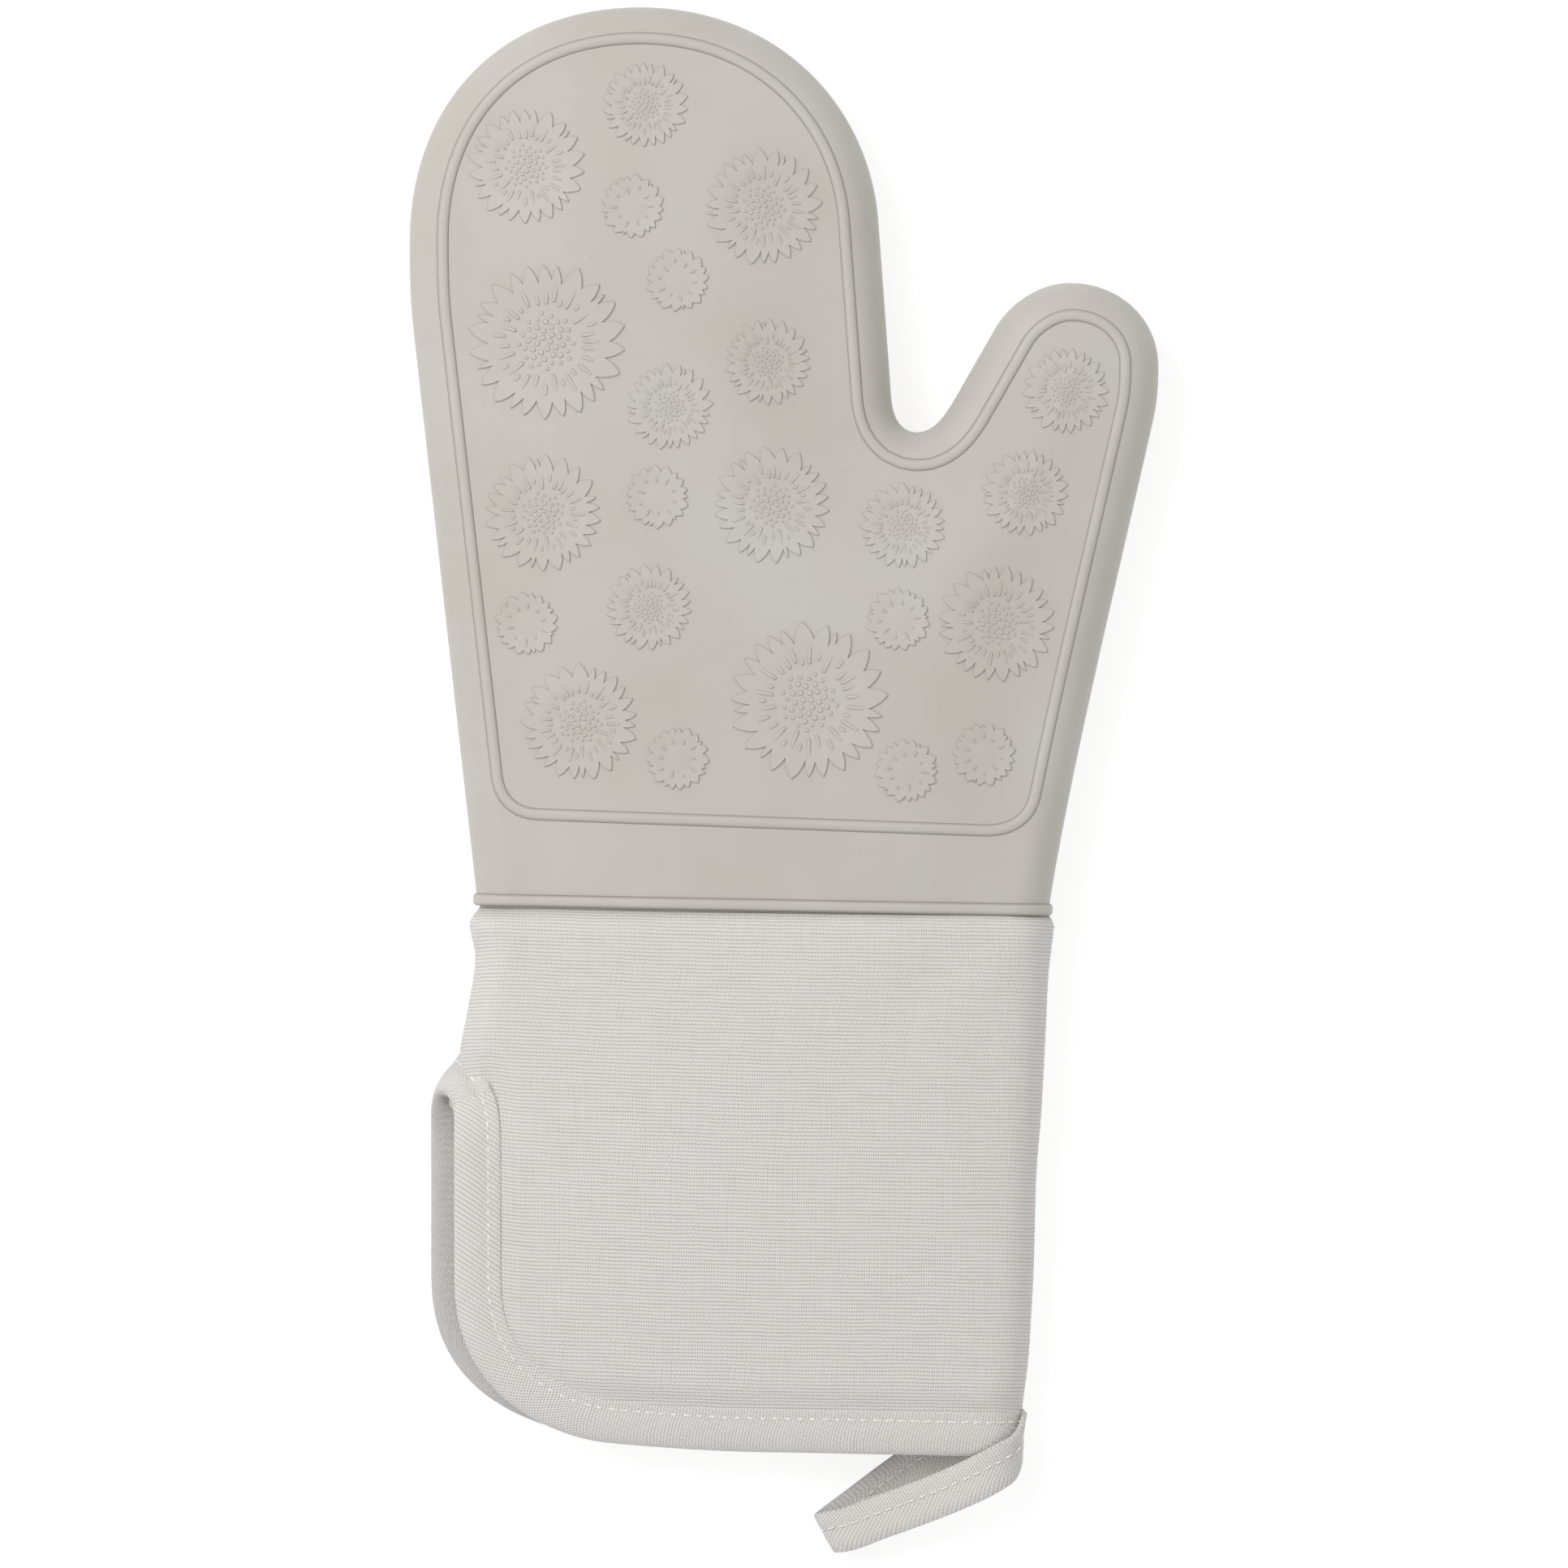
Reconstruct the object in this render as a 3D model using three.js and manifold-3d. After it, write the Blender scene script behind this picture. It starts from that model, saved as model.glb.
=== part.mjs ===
// Silicone oven mitt with a quilted fabric cuff, lying on its back with the palm side up.
// Millimetres. +Z is up, +Y runs to the fingertips and the thumb points to +X.
// The origin is under the middle of the mitt's box, on the surface that it lies on.
//
// The mitt is a set of nested layers. Each one is the room between two rounded slabs, and every slab
// is the same outline, drawn in by its own inset on all sides. Outside to inside:
//   hand: silicone shell, batting, lining glove      cuff: cover fabric, batting, lining
// The palm-side and back-side halves of the sewn layers are separate pieces that meet at the middle.
import * as THREE from "three";
import { mergeVertices } from "three/addons/utils/BufferGeometryUtils.js";
import Module from "manifold-3d";

// Driving dimensions
const BEAD_Y = -28.4; // top of the bead round the shell's open end, on the mitt's middle line
const BEAD_WIDTH = 3.0;
const BEAD_PROUD = 1.0;
const BEAD_TILT = THREE.MathUtils.degToRad(-1.05); // the open end is cut a little askew
const RELIEF = 0.6; // the rib and the flowers stand out this far
const RIB_INSET = 8.6; // the rib's middle, from the outline
const RIB_WIDTH = 2.8;
const RIB_ABOVE_BEAD = 18.7; // its straight lower run
const SHELL_LOW = BEAD_PROUD; // back panel's face
const SHELL_HIGH = 26.0; // palm panel's face
const MIDDLE_Z = (SHELL_LOW + SHELL_HIGH) / 2;
const EDGE_ACROSS = 9.0; // the rounded edge's reach across the panel
const EDGE_UP = 11.0; // and its reach up the side
const CUFF_TUCK = 0.6; // the cuff's faces lie this much lower than the shell's
const MOUTH_Y = -164.4; // lower end of the cuff
const FLATTER_FROM = -42; // from here down the cuff gets thinner
const MOUTH_FLATTER = 0.23; // by this share at its mouth
const SLIT_TOP_Y = -68.0; // the cuff's little-finger side is slit from here to the mouth
const PALM_SLIT_X = -81; // the slit's edge on the palm-side flap
const BACK_SLIT_X = -87; // and on the back flap, which shows beside it
const BINDING_WIDTH = 11.2;
const STITCH_FROM_EDGE = 8.2; // the binding's stitch line, from its outer edge
const THREAD = 0.5; // sewing thread, as thick as it is modelled
const GAP = 0.35; // between neighbouring pieces
const SEAM_GAP = THREAD + 2 * GAP; // between two halves with a seam thread between them
const FAR = 260; // reaches past the mitt on every side

// Insets of each layer from the outline: [outer face, inner face]
const SHELL_WALL = [0, 2.0];
const FLANGE = [2.2, 3.0]; // thin rim below the bead, which the cover is sewn to
const RIM_SEAM = [1.5, 1.9];
const HAND_BATTING = [2.35, 5.2];
const BATTING_IN_FLANGE = [3.35, 5.2];
const HAND_LINING = [5.55, 6.3];
const COVER = [0, 0.6];
const CUFF_BATTING = [1.2, 3.9];
const CUFF_LINING = [4.25, 5.0];
const BINDING = [-0.4, 5.6];
const BINDING_SLOT = [0.5, 4.7]; // the folded tape is hollow, and the batting's edge runs into it
const FLANGE_LENGTH = 8;

// The moulded flowers on each face: radius, number of petals, then the places of that kind
const FLOWERS = [
  [19.5, 18, [[-58, 108], [6, 20]]],
  [14.5, 14, [[-63, 151], [-5, 141], [-59, 66], [-3, 68], [-50, 15], [52, 39]]],
  [10.7, 12, [[-34, 166], [-28, 92], [-4, 103], [-33, 43], [29, 63], [59, 71], [69, 96]]],
  [7.8, 10, [[-37, 141], [-26, 123], [-31, 70], [-63, 39], [28, 40], [-26, 6], [30, 3], [49, 7]]],
];
const PETAL_ROOT = 0.78; // where the petals part, as a share of the flower's radius

// Hanging loop: a flat tape doubled back on itself. It is thin at its root, at the corner of the mouth.
const TAPE_WIDTH = 10.6;
const TAPE_THICK = 1.4;
const LOOP_ROOT = new THREE.Vector3(58.6, -165.2, MIDDLE_Z * (1 - MOUTH_FLATTER));
const LOOP_TIP = new THREE.Vector3(10.6, -186.2, 0);
const TIP_RADIUS = 4.7; // outside of the doubled tape at its tip
const ROOT_RADIUS = 1.7;
const LOWER_RUN_BOWS = 5; // the lower run bows out sideways from under the upper one

const wasm = await Module();
wasm.setup();

// Solids: closed three.js geometry to a manifold and back

function solid(geometry) {
  const bare = geometry.index ? geometry.toNonIndexed() : geometry;
  const shape = new THREE.BufferGeometry().setAttribute("position", bare.getAttribute("position"));
  const merged = mergeVertices(shape, 1e-4);
  return new wasm.Manifold(
    new wasm.Mesh({
      numProp: 3,
      vertProperties: new Float32Array(merged.attributes.position.array),
      triVerts: new Uint32Array(merged.index.array),
    }),
  );
}

function geometryOf(manifold) {
  const mesh = manifold.asOriginal().simplify(0.01).getMesh(); // without the slivers that cutting leaves
  const geometry = new THREE.BufferGeometry();
  geometry.setAttribute("position", new THREE.BufferAttribute(mesh.vertProperties, mesh.numProp));
  geometry.setIndex(new THREE.BufferAttribute(mesh.triVerts, 1));
  geometry.computeVertexNormals();
  return geometry;
}

// Outlines, seen from the palm side

// The hand, from the little-finger side over the fingers, the crotch and the thumb. It runs on straight
// below the bead, because the open end is cut off later.
const handOutline = new THREE.Shape()
  .moveTo(-71.4, -66)
  .lineTo(-91.4, 113)
  .bezierCurveTo(-92.1, 120, -92.2, 126, -92.2, 133)
  .bezierCurveTo(-92.2, 167.8, -69.6, 191, -35.4, 191)
  .bezierCurveTo(-1.4, 191, 20.8, 167, 23.2, 139)
  .lineTo(26.4, 95)
  .bezierCurveTo(26.8, 89.5, 29, 86.4, 32.8, 86.4)
  .bezierCurveTo(37.5, 86.4, 40.3, 91.6, 43.4, 97)
  .lineTo(52, 112)
  .bezierCurveTo(55.2, 117.7, 62.5, 123.2, 70.4, 123.2)
  .bezierCurveTo(82.5, 123.2, 92.2, 114.5, 92.2, 102.5)
  .bezierCurveTo(92.2, 97, 91.8, 93, 90.6, 88)
  .bezierCurveTo(82, 50, 71, 5, 65.6, -28.4)
  .lineTo(59.8, -66);

// The cuff. Below the slit's top it runs on to the left, so that both flaps are flat there.
const cuffOutline = new THREE.Shape()
  .moveTo(-76.2, -10)
  .lineTo(-77.5, -36)
  .lineTo(-76.3, -45)
  .lineTo(-79.2, SLIT_TOP_Y)
  .lineTo(-FAR, SLIT_TOP_Y)
  .lineTo(-FAR, -FAR)
  .lineTo(50, -FAR)
  .lineTo(57.6, MOUTH_Y)
  .quadraticCurveTo(60.8, -140, 61.8, -110)
  .lineTo(66, -36)
  .lineTo(66.3, -10);

// A flap's edge: down the slit, round the corner and along the mouth. Everything left of slitX and
// below the mouth is cut away.
function flapOutline(slitX) {
  return new THREE.Shape()
    .moveTo(slitX, SLIT_TOP_Y)
    .lineTo(slitX, -124)
    .bezierCurveTo(slitX + 0.5, -146, slitX + 16, -158, -46, -161.8)
    .quadraticCurveTo(-22, MOUTH_Y, 0, MOUTH_Y)
    .lineTo(60, MOUTH_Y - 1.4)
    .lineTo(FAR, MOUTH_Y - 1.4)
    .lineTo(FAR, FAR)
    .lineTo(-FAR, FAR)
    .lineTo(-FAR, SLIT_TOP_Y);
}
const palmFlap = flapOutline(PALM_SLIT_X);
const backFlap = flapOutline(BACK_SLIT_X);

// Building blocks

// A slab of an outline with rounded edges, drawn in by inset on every side. The inner layers, which
// nobody sees, get fewer steps round their edges.
function slab(outline, inset) {
  const across = Math.max(EDGE_ACROSS - inset, 2);
  const up = Math.max(EDGE_UP - inset, 2);
  const tuck = outline === cuffOutline ? CUFF_TUCK : 0;
  const low = SHELL_LOW + tuck + inset;
  const high = SHELL_HIGH - tuck - inset;
  const geometry = new THREE.ExtrudeGeometry(outline, {
    depth: high - low - 2 * up,
    curveSegments: 7,
    bevelThickness: up,
    bevelSize: across,
    bevelOffset: -inset - across,
    bevelSegments: inset > SHELL_WALL[1] ? 2 : 3,
  });
  return solid(geometry.translate(0, 0, low + up));
}

function layer(outline, [outer, inner]) {
  return slab(outline, outer).subtract(slab(outline, inner));
}

// A straight-sided block of an outline, drawn in by inset.
function prism(outline, inset = 0) {
  const geometry = new THREE.ExtrudeGeometry(outline, {
    depth: FAR,
    curveSegments: 7,
    bevelThickness: 1,
    bevelSize: 0,
    bevelOffset: -inset,
    bevelSegments: 1,
  });
  return solid(geometry.translate(0, 0, -FAR / 2));
}

function box(lowX, lowY, lowZ, highX, highY, highZ) {
  const geometry = new THREE.BoxGeometry(highX - lowX, highY - lowY, highZ - lowZ);
  geometry.translate((lowX + highX) / 2, (lowY + highY) / 2, (lowZ + highZ) / 2);
  return solid(geometry);
}

// The band between two distances below the bead's top, square to the askew open end.
function band(fromBelow, toBelow) {
  const geometry = new THREE.BoxGeometry(2 * FAR, toBelow - fromBelow, FAR);
  geometry.translate(0, -(fromBelow + toBelow) / 2, 0).rotateZ(BEAD_TILT);
  return solid(geometry.translate(0, BEAD_Y, 0));
}

const palmHalf = (gap) => box(-FAR, -FAR, MIDDLE_Z + gap / 2, FAR, FAR, FAR);
const backHalf = (gap) => box(-FAR, -FAR, -FAR, FAR, FAR, MIDDLE_Z - gap / 2);

// A thread, tape or other section swept along points. rounded lets it curve between them.
function sweep(section, points, steps) {
  const path = new THREE.CatmullRomCurve3(points, false, "centripetal");
  return solid(new THREE.ExtrudeGeometry(section, { steps, extrudePath: path, curveSegments: 2 }));
}

function thread(points, steps) {
  return sweep(new THREE.Shape().absarc(0, 0, THREAD / 2, 0, 2 * Math.PI), points, steps);
}

// The cuff is thinner towards its mouth: its heights shrink in proportion.
function flatten(manifold) {
  return manifold.warp((point) => {
    const share = THREE.MathUtils.clamp((FLATTER_FROM - point[1]) / (FLATTER_FROM - MOUTH_Y), 0, 1.2);
    point[2] *= 1 - MOUTH_FLATTER * share;
  });
}

// Silicone shell: wall, bead round the open end, the flange that the cuff is sewn to, and the raised
// pattern that both faces carry

// A face's decorated field, ending inset from the hand's outline and above the bead.
function field(inset) {
  return prism(handOutline, inset).intersect(band(-FAR, RIB_INSET - inset - RIB_ABOVE_BEAD));
}

function flower(radius, petals) {
  const shape = new THREE.Shape();
  for (let corner = 0; corner < 2 * petals; corner++) {
    const reach = corner % 2 ? radius * PETAL_ROOT : radius;
    const angle = (corner * Math.PI) / petals;
    shape[corner ? "lineTo" : "moveTo"](reach * Math.cos(angle), reach * Math.sin(angle));
  }
  return prism(shape);
}

function raisedPattern() {
  let pattern = field(RIB_INSET - RIB_WIDTH / 2).subtract(field(RIB_INSET + RIB_WIDTH / 2));
  for (const [radius, petals, places] of FLOWERS) {
    for (const [x, y] of places) pattern = pattern.add(flower(radius, petals).translate(x, y, 0));
  }
  const onPalm = box(-FAR, -FAR, SHELL_HIGH - 1, FAR, FAR, SHELL_HIGH + RELIEF);
  const onBack = box(-FAR, -FAR, SHELL_LOW - RELIEF, FAR, FAR, SHELL_LOW + 1);
  return pattern.intersect(onPalm.add(onBack));
}

function siliconeShell() {
  const wall = layer(handOutline, SHELL_WALL).intersect(band(-FAR, BEAD_WIDTH));
  const bead = layer(handOutline, [-BEAD_PROUD, 1]).intersect(band(0, BEAD_WIDTH));
  const rim = layer(handOutline, FLANGE).intersect(band(0.5, BEAD_WIDTH + FLANGE_LENGTH));
  const web = layer(handOutline, [1, FLANGE[1]]).intersect(band(0.5, BEAD_WIDTH));
  return wall.add(bead).add(rim).add(web).add(raisedPattern());
}

// Hand: batting and lining glove

const handLength = band(-FAR, BEAD_WIDTH + FLANGE_LENGTH);

function halves(whole, gap) {
  return [whole.intersect(palmHalf(gap)), whole.intersect(backHalf(gap))];
}

function handBatting() {
  const aboveFlange = layer(handOutline, HAND_BATTING).intersect(band(-FAR, 0));
  return aboveFlange.add(layer(handOutline, BATTING_IN_FLANGE).intersect(handLength));
}

// The seam round the lining glove lies between its halves, from the bead over the hand and back.
function liningSeam() {
  const inset = (HAND_LINING[0] + HAND_LINING[1]) / 2;
  return layer(handOutline, [inset - THREAD / 2, inset + THREAD / 2])
    .intersect(band(-FAR, BEAD_WIDTH + FLANGE_LENGTH - 3))
    .intersect(box(-FAR, -FAR, MIDDLE_Z - THREAD / 2, FAR, FAR, MIDDLE_Z + THREAD / 2));
}

// The running stitch that holds the cover to the shell's flange.
function rimSeam() {
  return layer(handOutline, RIM_SEAM).intersect(band(BEAD_WIDTH + 4, BEAD_WIDTH + 4 + THREAD));
}

// Cuff: each flap has a cover, batting and lining, and a folded tape binds their edges

const coverStart = BEAD_WIDTH + GAP;
const paddingStart = BEAD_WIDTH + FLANGE_LENGTH + GAP;

// One half of a cuff layer, trimmed to its flap and kept off the flap's edge by edge.
function flapLayer(insets, flap, edge, half, start) {
  return flatten(
    layer(cuffOutline, insets).intersect(band(start, FAR)).intersect(half).intersect(prism(flap, edge)),
  );
}

// The binding follows both flaps' edges, and the two runs join round the slit's top and at the
// thumb-side seam, so it is one piece.
function binding() {
  const run = (flap, slitX, half) => {
    const belowSlitTop = box(slitX, -FAR, -FAR, FAR, SLIT_TOP_Y + 1, FAR);
    const strip = prism(flap).subtract(prism(flap, BINDING_WIDTH));
    return layer(cuffOutline, BINDING).intersect(strip).intersect(half).intersect(belowSlitTop);
  };
  const hollow = prism(palmFlap, 0.9).intersect(palmHalf(0)).add(prism(backFlap, 0.9).intersect(backHalf(-0.2)));
  return flatten(
    run(palmFlap, PALM_SLIT_X, palmHalf(-0.2))
      .add(run(backFlap, BACK_SLIT_X, backHalf(-0.2)))
      .subtract(layer(cuffOutline, BINDING_SLOT).intersect(hollow)),
  );
}

// The binding's stitch line on one flap, lying on the face at the given height.
function bindingStitch(slitX, z) {
  const edgeX = slitX + STITCH_FROM_EDGE;
  const mouthY = MOUTH_Y + STITCH_FROM_EDGE;
  const points = [
    new THREE.Vector3(edgeX, SLIT_TOP_Y - 14, z),
    new THREE.Vector3(edgeX, -100, z),
    new THREE.Vector3(edgeX + 0.3, -124, z),
    new THREE.Vector3(edgeX + 4.5, -138, z),
    new THREE.Vector3(edgeX + 14.5, -149.5, z),
    new THREE.Vector3(-40, -154.6, z),
    new THREE.Vector3(-18, mouthY, z),
    new THREE.Vector3(45, mouthY - 1, z),
  ];
  return flatten(thread(points, 36));
}

// A side seam of the cover, from the bead downwards, between the cover's halves.
function sideSeam(points) {
  return flatten(thread(points, 6));
}

function bartack() {
  const patch = layer(cuffOutline, [BINDING[0] - GAP - THREAD, BINDING[0] - GAP]);
  return flatten(patch.intersect(box(50, MOUTH_Y + 1, MIDDLE_Z - 4, FAR, MOUTH_Y + 9, MIDDLE_Z + 4)));
}

// Hanging loop

const loopLength = Math.hypot(LOOP_ROOT.x - LOOP_TIP.x, LOOP_ROOT.y - LOOP_TIP.y);
const loopHeading = Math.atan2(LOOP_ROOT.y - LOOP_TIP.y, LOOP_ROOT.x - LOOP_TIP.x);

// The doubled tape seen from its edge: a drop with its round end at the tip, x along it to the root
// and y up, drawn in by inset.
function drop(inset) {
  const tip = new THREE.Vector2(TIP_RADIUS, TIP_RADIUS);
  const root = new THREE.Vector2(loopLength, LOOP_ROOT.z);
  const between = root.clone().sub(tip);
  const lean = between.angle();
  const side = Math.acos((TIP_RADIUS - ROOT_RADIUS) / between.length());
  return new THREE.Shape()
    .absarc(tip.x, tip.y, TIP_RADIUS - inset, lean + side, lean - side, false)
    .absarc(root.x, root.y, ROOT_RADIUS - inset, lean - side, lean + side, false);
}

// Stands a profile of that kind on edge, width across, and lays it from the tip to the root.
function alongLoop(profile, width) {
  const geometry = new THREE.ExtrudeGeometry(profile, { depth: width, bevelEnabled: false, curveSegments: 6 });
  geometry.translate(0, 0, -width / 2).rotateX(Math.PI / 2).rotateZ(loopHeading);
  return solid(geometry.translate(LOOP_TIP.x, LOOP_TIP.y, 0));
}

// Moves the lower run sideways, most of all halfway along, so that it shows beside the upper run.
function bowLowerRun(manifold) {
  return manifold.refineToLength(12).warp((point) => {
    const along = Math.hypot(point[0] - LOOP_TIP.x, point[1] - LOOP_TIP.y) / loopLength;
    const middle = THREE.MathUtils.lerp(TIP_RADIUS, LOOP_ROOT.z, along);
    const lower = THREE.MathUtils.smoothstep(middle - point[2], -2, 2);
    const bow = LOWER_RUN_BOWS * lower * Math.sin(Math.PI * THREE.MathUtils.clamp(along, 0, 1));
    point[0] -= bow * Math.sin(loopHeading);
    point[1] += bow * Math.cos(loopHeading);
  });
}

// The loop ends a gap short of the cuff, which its stitches hold it to.
const roundTheCuff = flatten(slab(cuffOutline, BINDING[0] - 2 * GAP - THREAD).intersect(prism(backFlap, -GAP)));

function hangingLoop() {
  const drawn = drop(0);
  drawn.holes.push(drop(TAPE_THICK));
  return bowLowerRun(alongLoop(drawn, TAPE_WIDTH)).subtract(roundTheCuff);
}

// The stitch line along the upper run, standing on it.
function loopStitch() {
  const start = 8;
  const end = 38;
  const lean = (LOOP_ROOT.z + ROOT_RADIUS - 2 * TIP_RADIUS) / (loopLength - TIP_RADIUS);
  const height = (along) => 2 * TIP_RADIUS + GAP + lean * (along - TIP_RADIUS);
  const line = new THREE.Shape()
    .moveTo(start, height(start))
    .lineTo(end, height(end))
    .lineTo(end, height(end) + THREAD)
    .lineTo(start, height(start) + THREAD);
  return alongLoop(line, THREAD);
}

// Materials

const silicone = new THREE.MeshStandardMaterial({ color: 0xc2beb7, roughness: 0.62 });
const coverCloth = new THREE.MeshStandardMaterial({ color: 0xd4cfca, roughness: 0.95 });
const tapeCloth = new THREE.MeshStandardMaterial({ color: 0xd1ccc7, roughness: 0.95 });
const liningCloth = new THREE.MeshStandardMaterial({ color: 0xe2ddd4, roughness: 0.95 });
const batting = new THREE.MeshStandardMaterial({ color: 0xf1efea, roughness: 1 });
const sewingThread = new THREE.MeshStandardMaterial({ color: 0xe0dcd7, roughness: 0.7 });

// Assembly

const mitt = new THREE.Group();

function piece(name, manifold, material) {
  const mesh = new THREE.Mesh(geometryOf(manifold), material);
  mesh.name = name;
  mitt.add(mesh);
}

piece("silicone_shell", siliconeShell(), silicone);
const [palmBatting, backBatting] = halves(handBatting(), GAP);
piece("palm_batting", palmBatting, batting);
piece("back_batting", backBatting, batting);
const lining = layer(handOutline, HAND_LINING).intersect(handLength);
const [palmLining, backLining] = halves(lining, SEAM_GAP);
piece("palm_lining", palmLining, liningCloth);
piece("back_lining", backLining, liningCloth);
piece("lining_seam_thread", liningSeam(), sewingThread);
piece("rim_thread", rimSeam(), sewingThread);

for (const [side, flap, half] of [["palm", palmFlap, palmHalf], ["back", backFlap, backHalf]]) {
  const bound = BINDING_WIDTH + GAP;
  piece(`cuff_${side}_cover`, flapLayer(COVER, flap, bound, half(SEAM_GAP), coverStart), coverCloth);
  piece(`cuff_${side}_batting`, flapLayer(CUFF_BATTING, flap, 4, half(GAP), paddingStart), batting);
  piece(`cuff_${side}_lining`, flapLayer(CUFF_LINING, flap, bound, half(GAP), paddingStart), liningCloth);
}
piece("edge_binding", binding(), tapeCloth);

const offTheFace = GAP + THREAD / 2 - CUFF_TUCK - BINDING[0];
piece("binding_stitch_palm", bindingStitch(PALM_SLIT_X, SHELL_HIGH + offTheFace), sewingThread);
piece("binding_stitch_back", bindingStitch(BACK_SLIT_X, SHELL_LOW - offTheFace), sewingThread);

const seamInset = (COVER[0] + COVER[1]) / 2;
const thumbSide = [
  new THREE.Vector3(66 - seamInset, -36, MIDDLE_Z),
  new THREE.Vector3(63.9 - seamInset, -73, MIDDLE_Z),
  new THREE.Vector3(61.8 - seamInset, -110, MIDDLE_Z),
  new THREE.Vector3(60.7 - seamInset, -140, MIDDLE_Z),
];
const slitSide = [
  new THREE.Vector3(-76.3 + seamInset, -45, MIDDLE_Z),
  new THREE.Vector3(-77.5 + seamInset, -54.5, MIDDLE_Z),
  new THREE.Vector3(-78.7 + seamInset, -64, MIDDLE_Z),
];
piece("cuff_seam_thumb_side", sideSeam(thumbSide), sewingThread);
piece("cuff_seam_slit_side", sideSeam(slitSide), sewingThread);
piece("loop_bartack", bartack(), sewingThread);
piece("hanging_loop", hangingLoop(), tapeCloth);
piece("loop_stitch", loopStitch(), sewingThread);

export default mitt;
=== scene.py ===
# %% [markdown]
# # A silicone oven mitt with a padded cuff
#
# The mitt has two halves. The hand is one silicone moulding with a raised rib, raised flowers and a
# bead round its open end. The cuff is sewn: a woven cover, wadding and a lining in each flap, a bias
# tape round their edges, and a loop of the same tape to hang it by. We build it piece by piece, each
# from a primitive that is pulled to shape, and then give each its finish.
#
# All sizes are in millimetres. Blender works in metres, so the helpers convert.

# %% Tools and the fixed frame
import math

import bpy
import numpy as np
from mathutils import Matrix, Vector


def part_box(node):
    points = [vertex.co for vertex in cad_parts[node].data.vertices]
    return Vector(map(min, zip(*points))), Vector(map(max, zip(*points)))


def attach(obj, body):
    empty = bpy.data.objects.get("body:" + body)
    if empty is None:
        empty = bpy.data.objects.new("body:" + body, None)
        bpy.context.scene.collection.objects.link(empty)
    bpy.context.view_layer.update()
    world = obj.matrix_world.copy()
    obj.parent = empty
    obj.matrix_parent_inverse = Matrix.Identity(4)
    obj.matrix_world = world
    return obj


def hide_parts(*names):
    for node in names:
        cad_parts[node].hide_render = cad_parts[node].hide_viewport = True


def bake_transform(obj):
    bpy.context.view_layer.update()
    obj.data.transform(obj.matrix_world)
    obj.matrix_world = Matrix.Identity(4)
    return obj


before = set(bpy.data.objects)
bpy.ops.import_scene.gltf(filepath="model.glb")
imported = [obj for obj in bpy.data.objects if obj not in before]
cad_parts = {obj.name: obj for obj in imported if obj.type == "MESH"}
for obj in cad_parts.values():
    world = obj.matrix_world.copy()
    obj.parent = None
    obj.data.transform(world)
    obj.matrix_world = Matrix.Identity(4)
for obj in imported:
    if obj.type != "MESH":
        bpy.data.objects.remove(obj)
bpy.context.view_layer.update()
MM = 0.001

shell_low, shell_high = (np.array(corner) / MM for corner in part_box("silicone_shell"))
BEAD_PROUD = 1.0
BACK_Z = shell_low[2] + BEAD_PROUD  # the back panel's face
PALM_Z = shell_high[2] - BEAD_PROUD  # the palm panel's face
print(f"shell from z {BACK_Z:.1f} to {PALM_Z:.1f} mm")

# %% [markdown]
# ## Small helpers
#
# An operator works on what is selected, so each helper first deselects everything. Corners are read
# and written as rows of x, y, z in millimetres. A mesh that is finished sits at the origin, because
# every piece keeps its place in its own corners.


# %% Selecting, editing and modifiers
def only(*objects):
    """Selects these objects alone and makes the first one active."""
    if bpy.context.object and bpy.context.object.mode != "OBJECT":
        bpy.ops.object.mode_set(mode="OBJECT")
    for other in list(bpy.context.selected_objects):
        other.select_set(False)
    for each in objects:
        each.select_set(True)
    bpy.context.view_layer.objects.active = objects[0]


def edit(obj, kind="VERT", everything=False):
    """Opens edit mode with the selection that the mesh holds, or with everything selected."""
    only(obj)
    bpy.ops.object.mode_set(mode="EDIT")
    bpy.ops.mesh.select_mode(type=kind)
    if everything:
        bpy.ops.mesh.select_all(action="SELECT")


def done():
    bpy.ops.object.mode_set(mode="OBJECT")


def edit_open_edges(obj):
    """Opens edit mode with the mesh's open edges selected."""
    edit(obj, "EDGE")
    bpy.ops.mesh.select_all(action="DESELECT")
    bpy.ops.mesh.select_non_manifold()


def pick(obj, chosen):
    """Selects the faces that chosen says yes to, and nothing else."""
    for part in (obj.data.vertices, obj.data.edges):
        part.foreach_set("select", [False] * len(part))
    for face in obj.data.polygons:
        face.select = bool(chosen(face))


def corners(obj):
    found = np.empty(len(obj.data.vertices) * 3)
    obj.data.vertices.foreach_get("co", found)
    return found.reshape(-1, 3) / MM


def move_corners(obj, places):
    obj.data.vertices.foreach_set("co", (np.asarray(places, float) * MM).ravel())
    obj.data.update()


def modify(obj, kind, **settings):
    """Adds a modifier, sets it and applies it."""
    only(obj)
    bpy.ops.object.modifier_add(type=kind)
    modifier = obj.modifiers[-1]
    for name, value in settings.items():
        setattr(modifier, name, value)
    bpy.ops.object.modifier_apply(modifier=modifier.name)


def mark_crease(obj, values):
    """Stores on each corner how deep it sits in a corner of the moulding, where the silicone's colour gets
    painted shade.
    """
    attribute = obj.data.attributes.get("crease") or obj.data.attributes.new("crease", "FLOAT", "POINT")
    attribute.data.foreach_set("value", np.asarray(values, np.float32))


def join(name, *objects):
    only(*objects)
    if len(objects) > 1:
        bpy.ops.object.join()
    objects[0].name = name
    return objects[0]


def smooth(obj, angle):
    """Smooths the shading over edges that are shallower than the angle."""
    only(obj)
    bpy.ops.object.shade_smooth_by_angle(angle=math.radians(angle))


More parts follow.
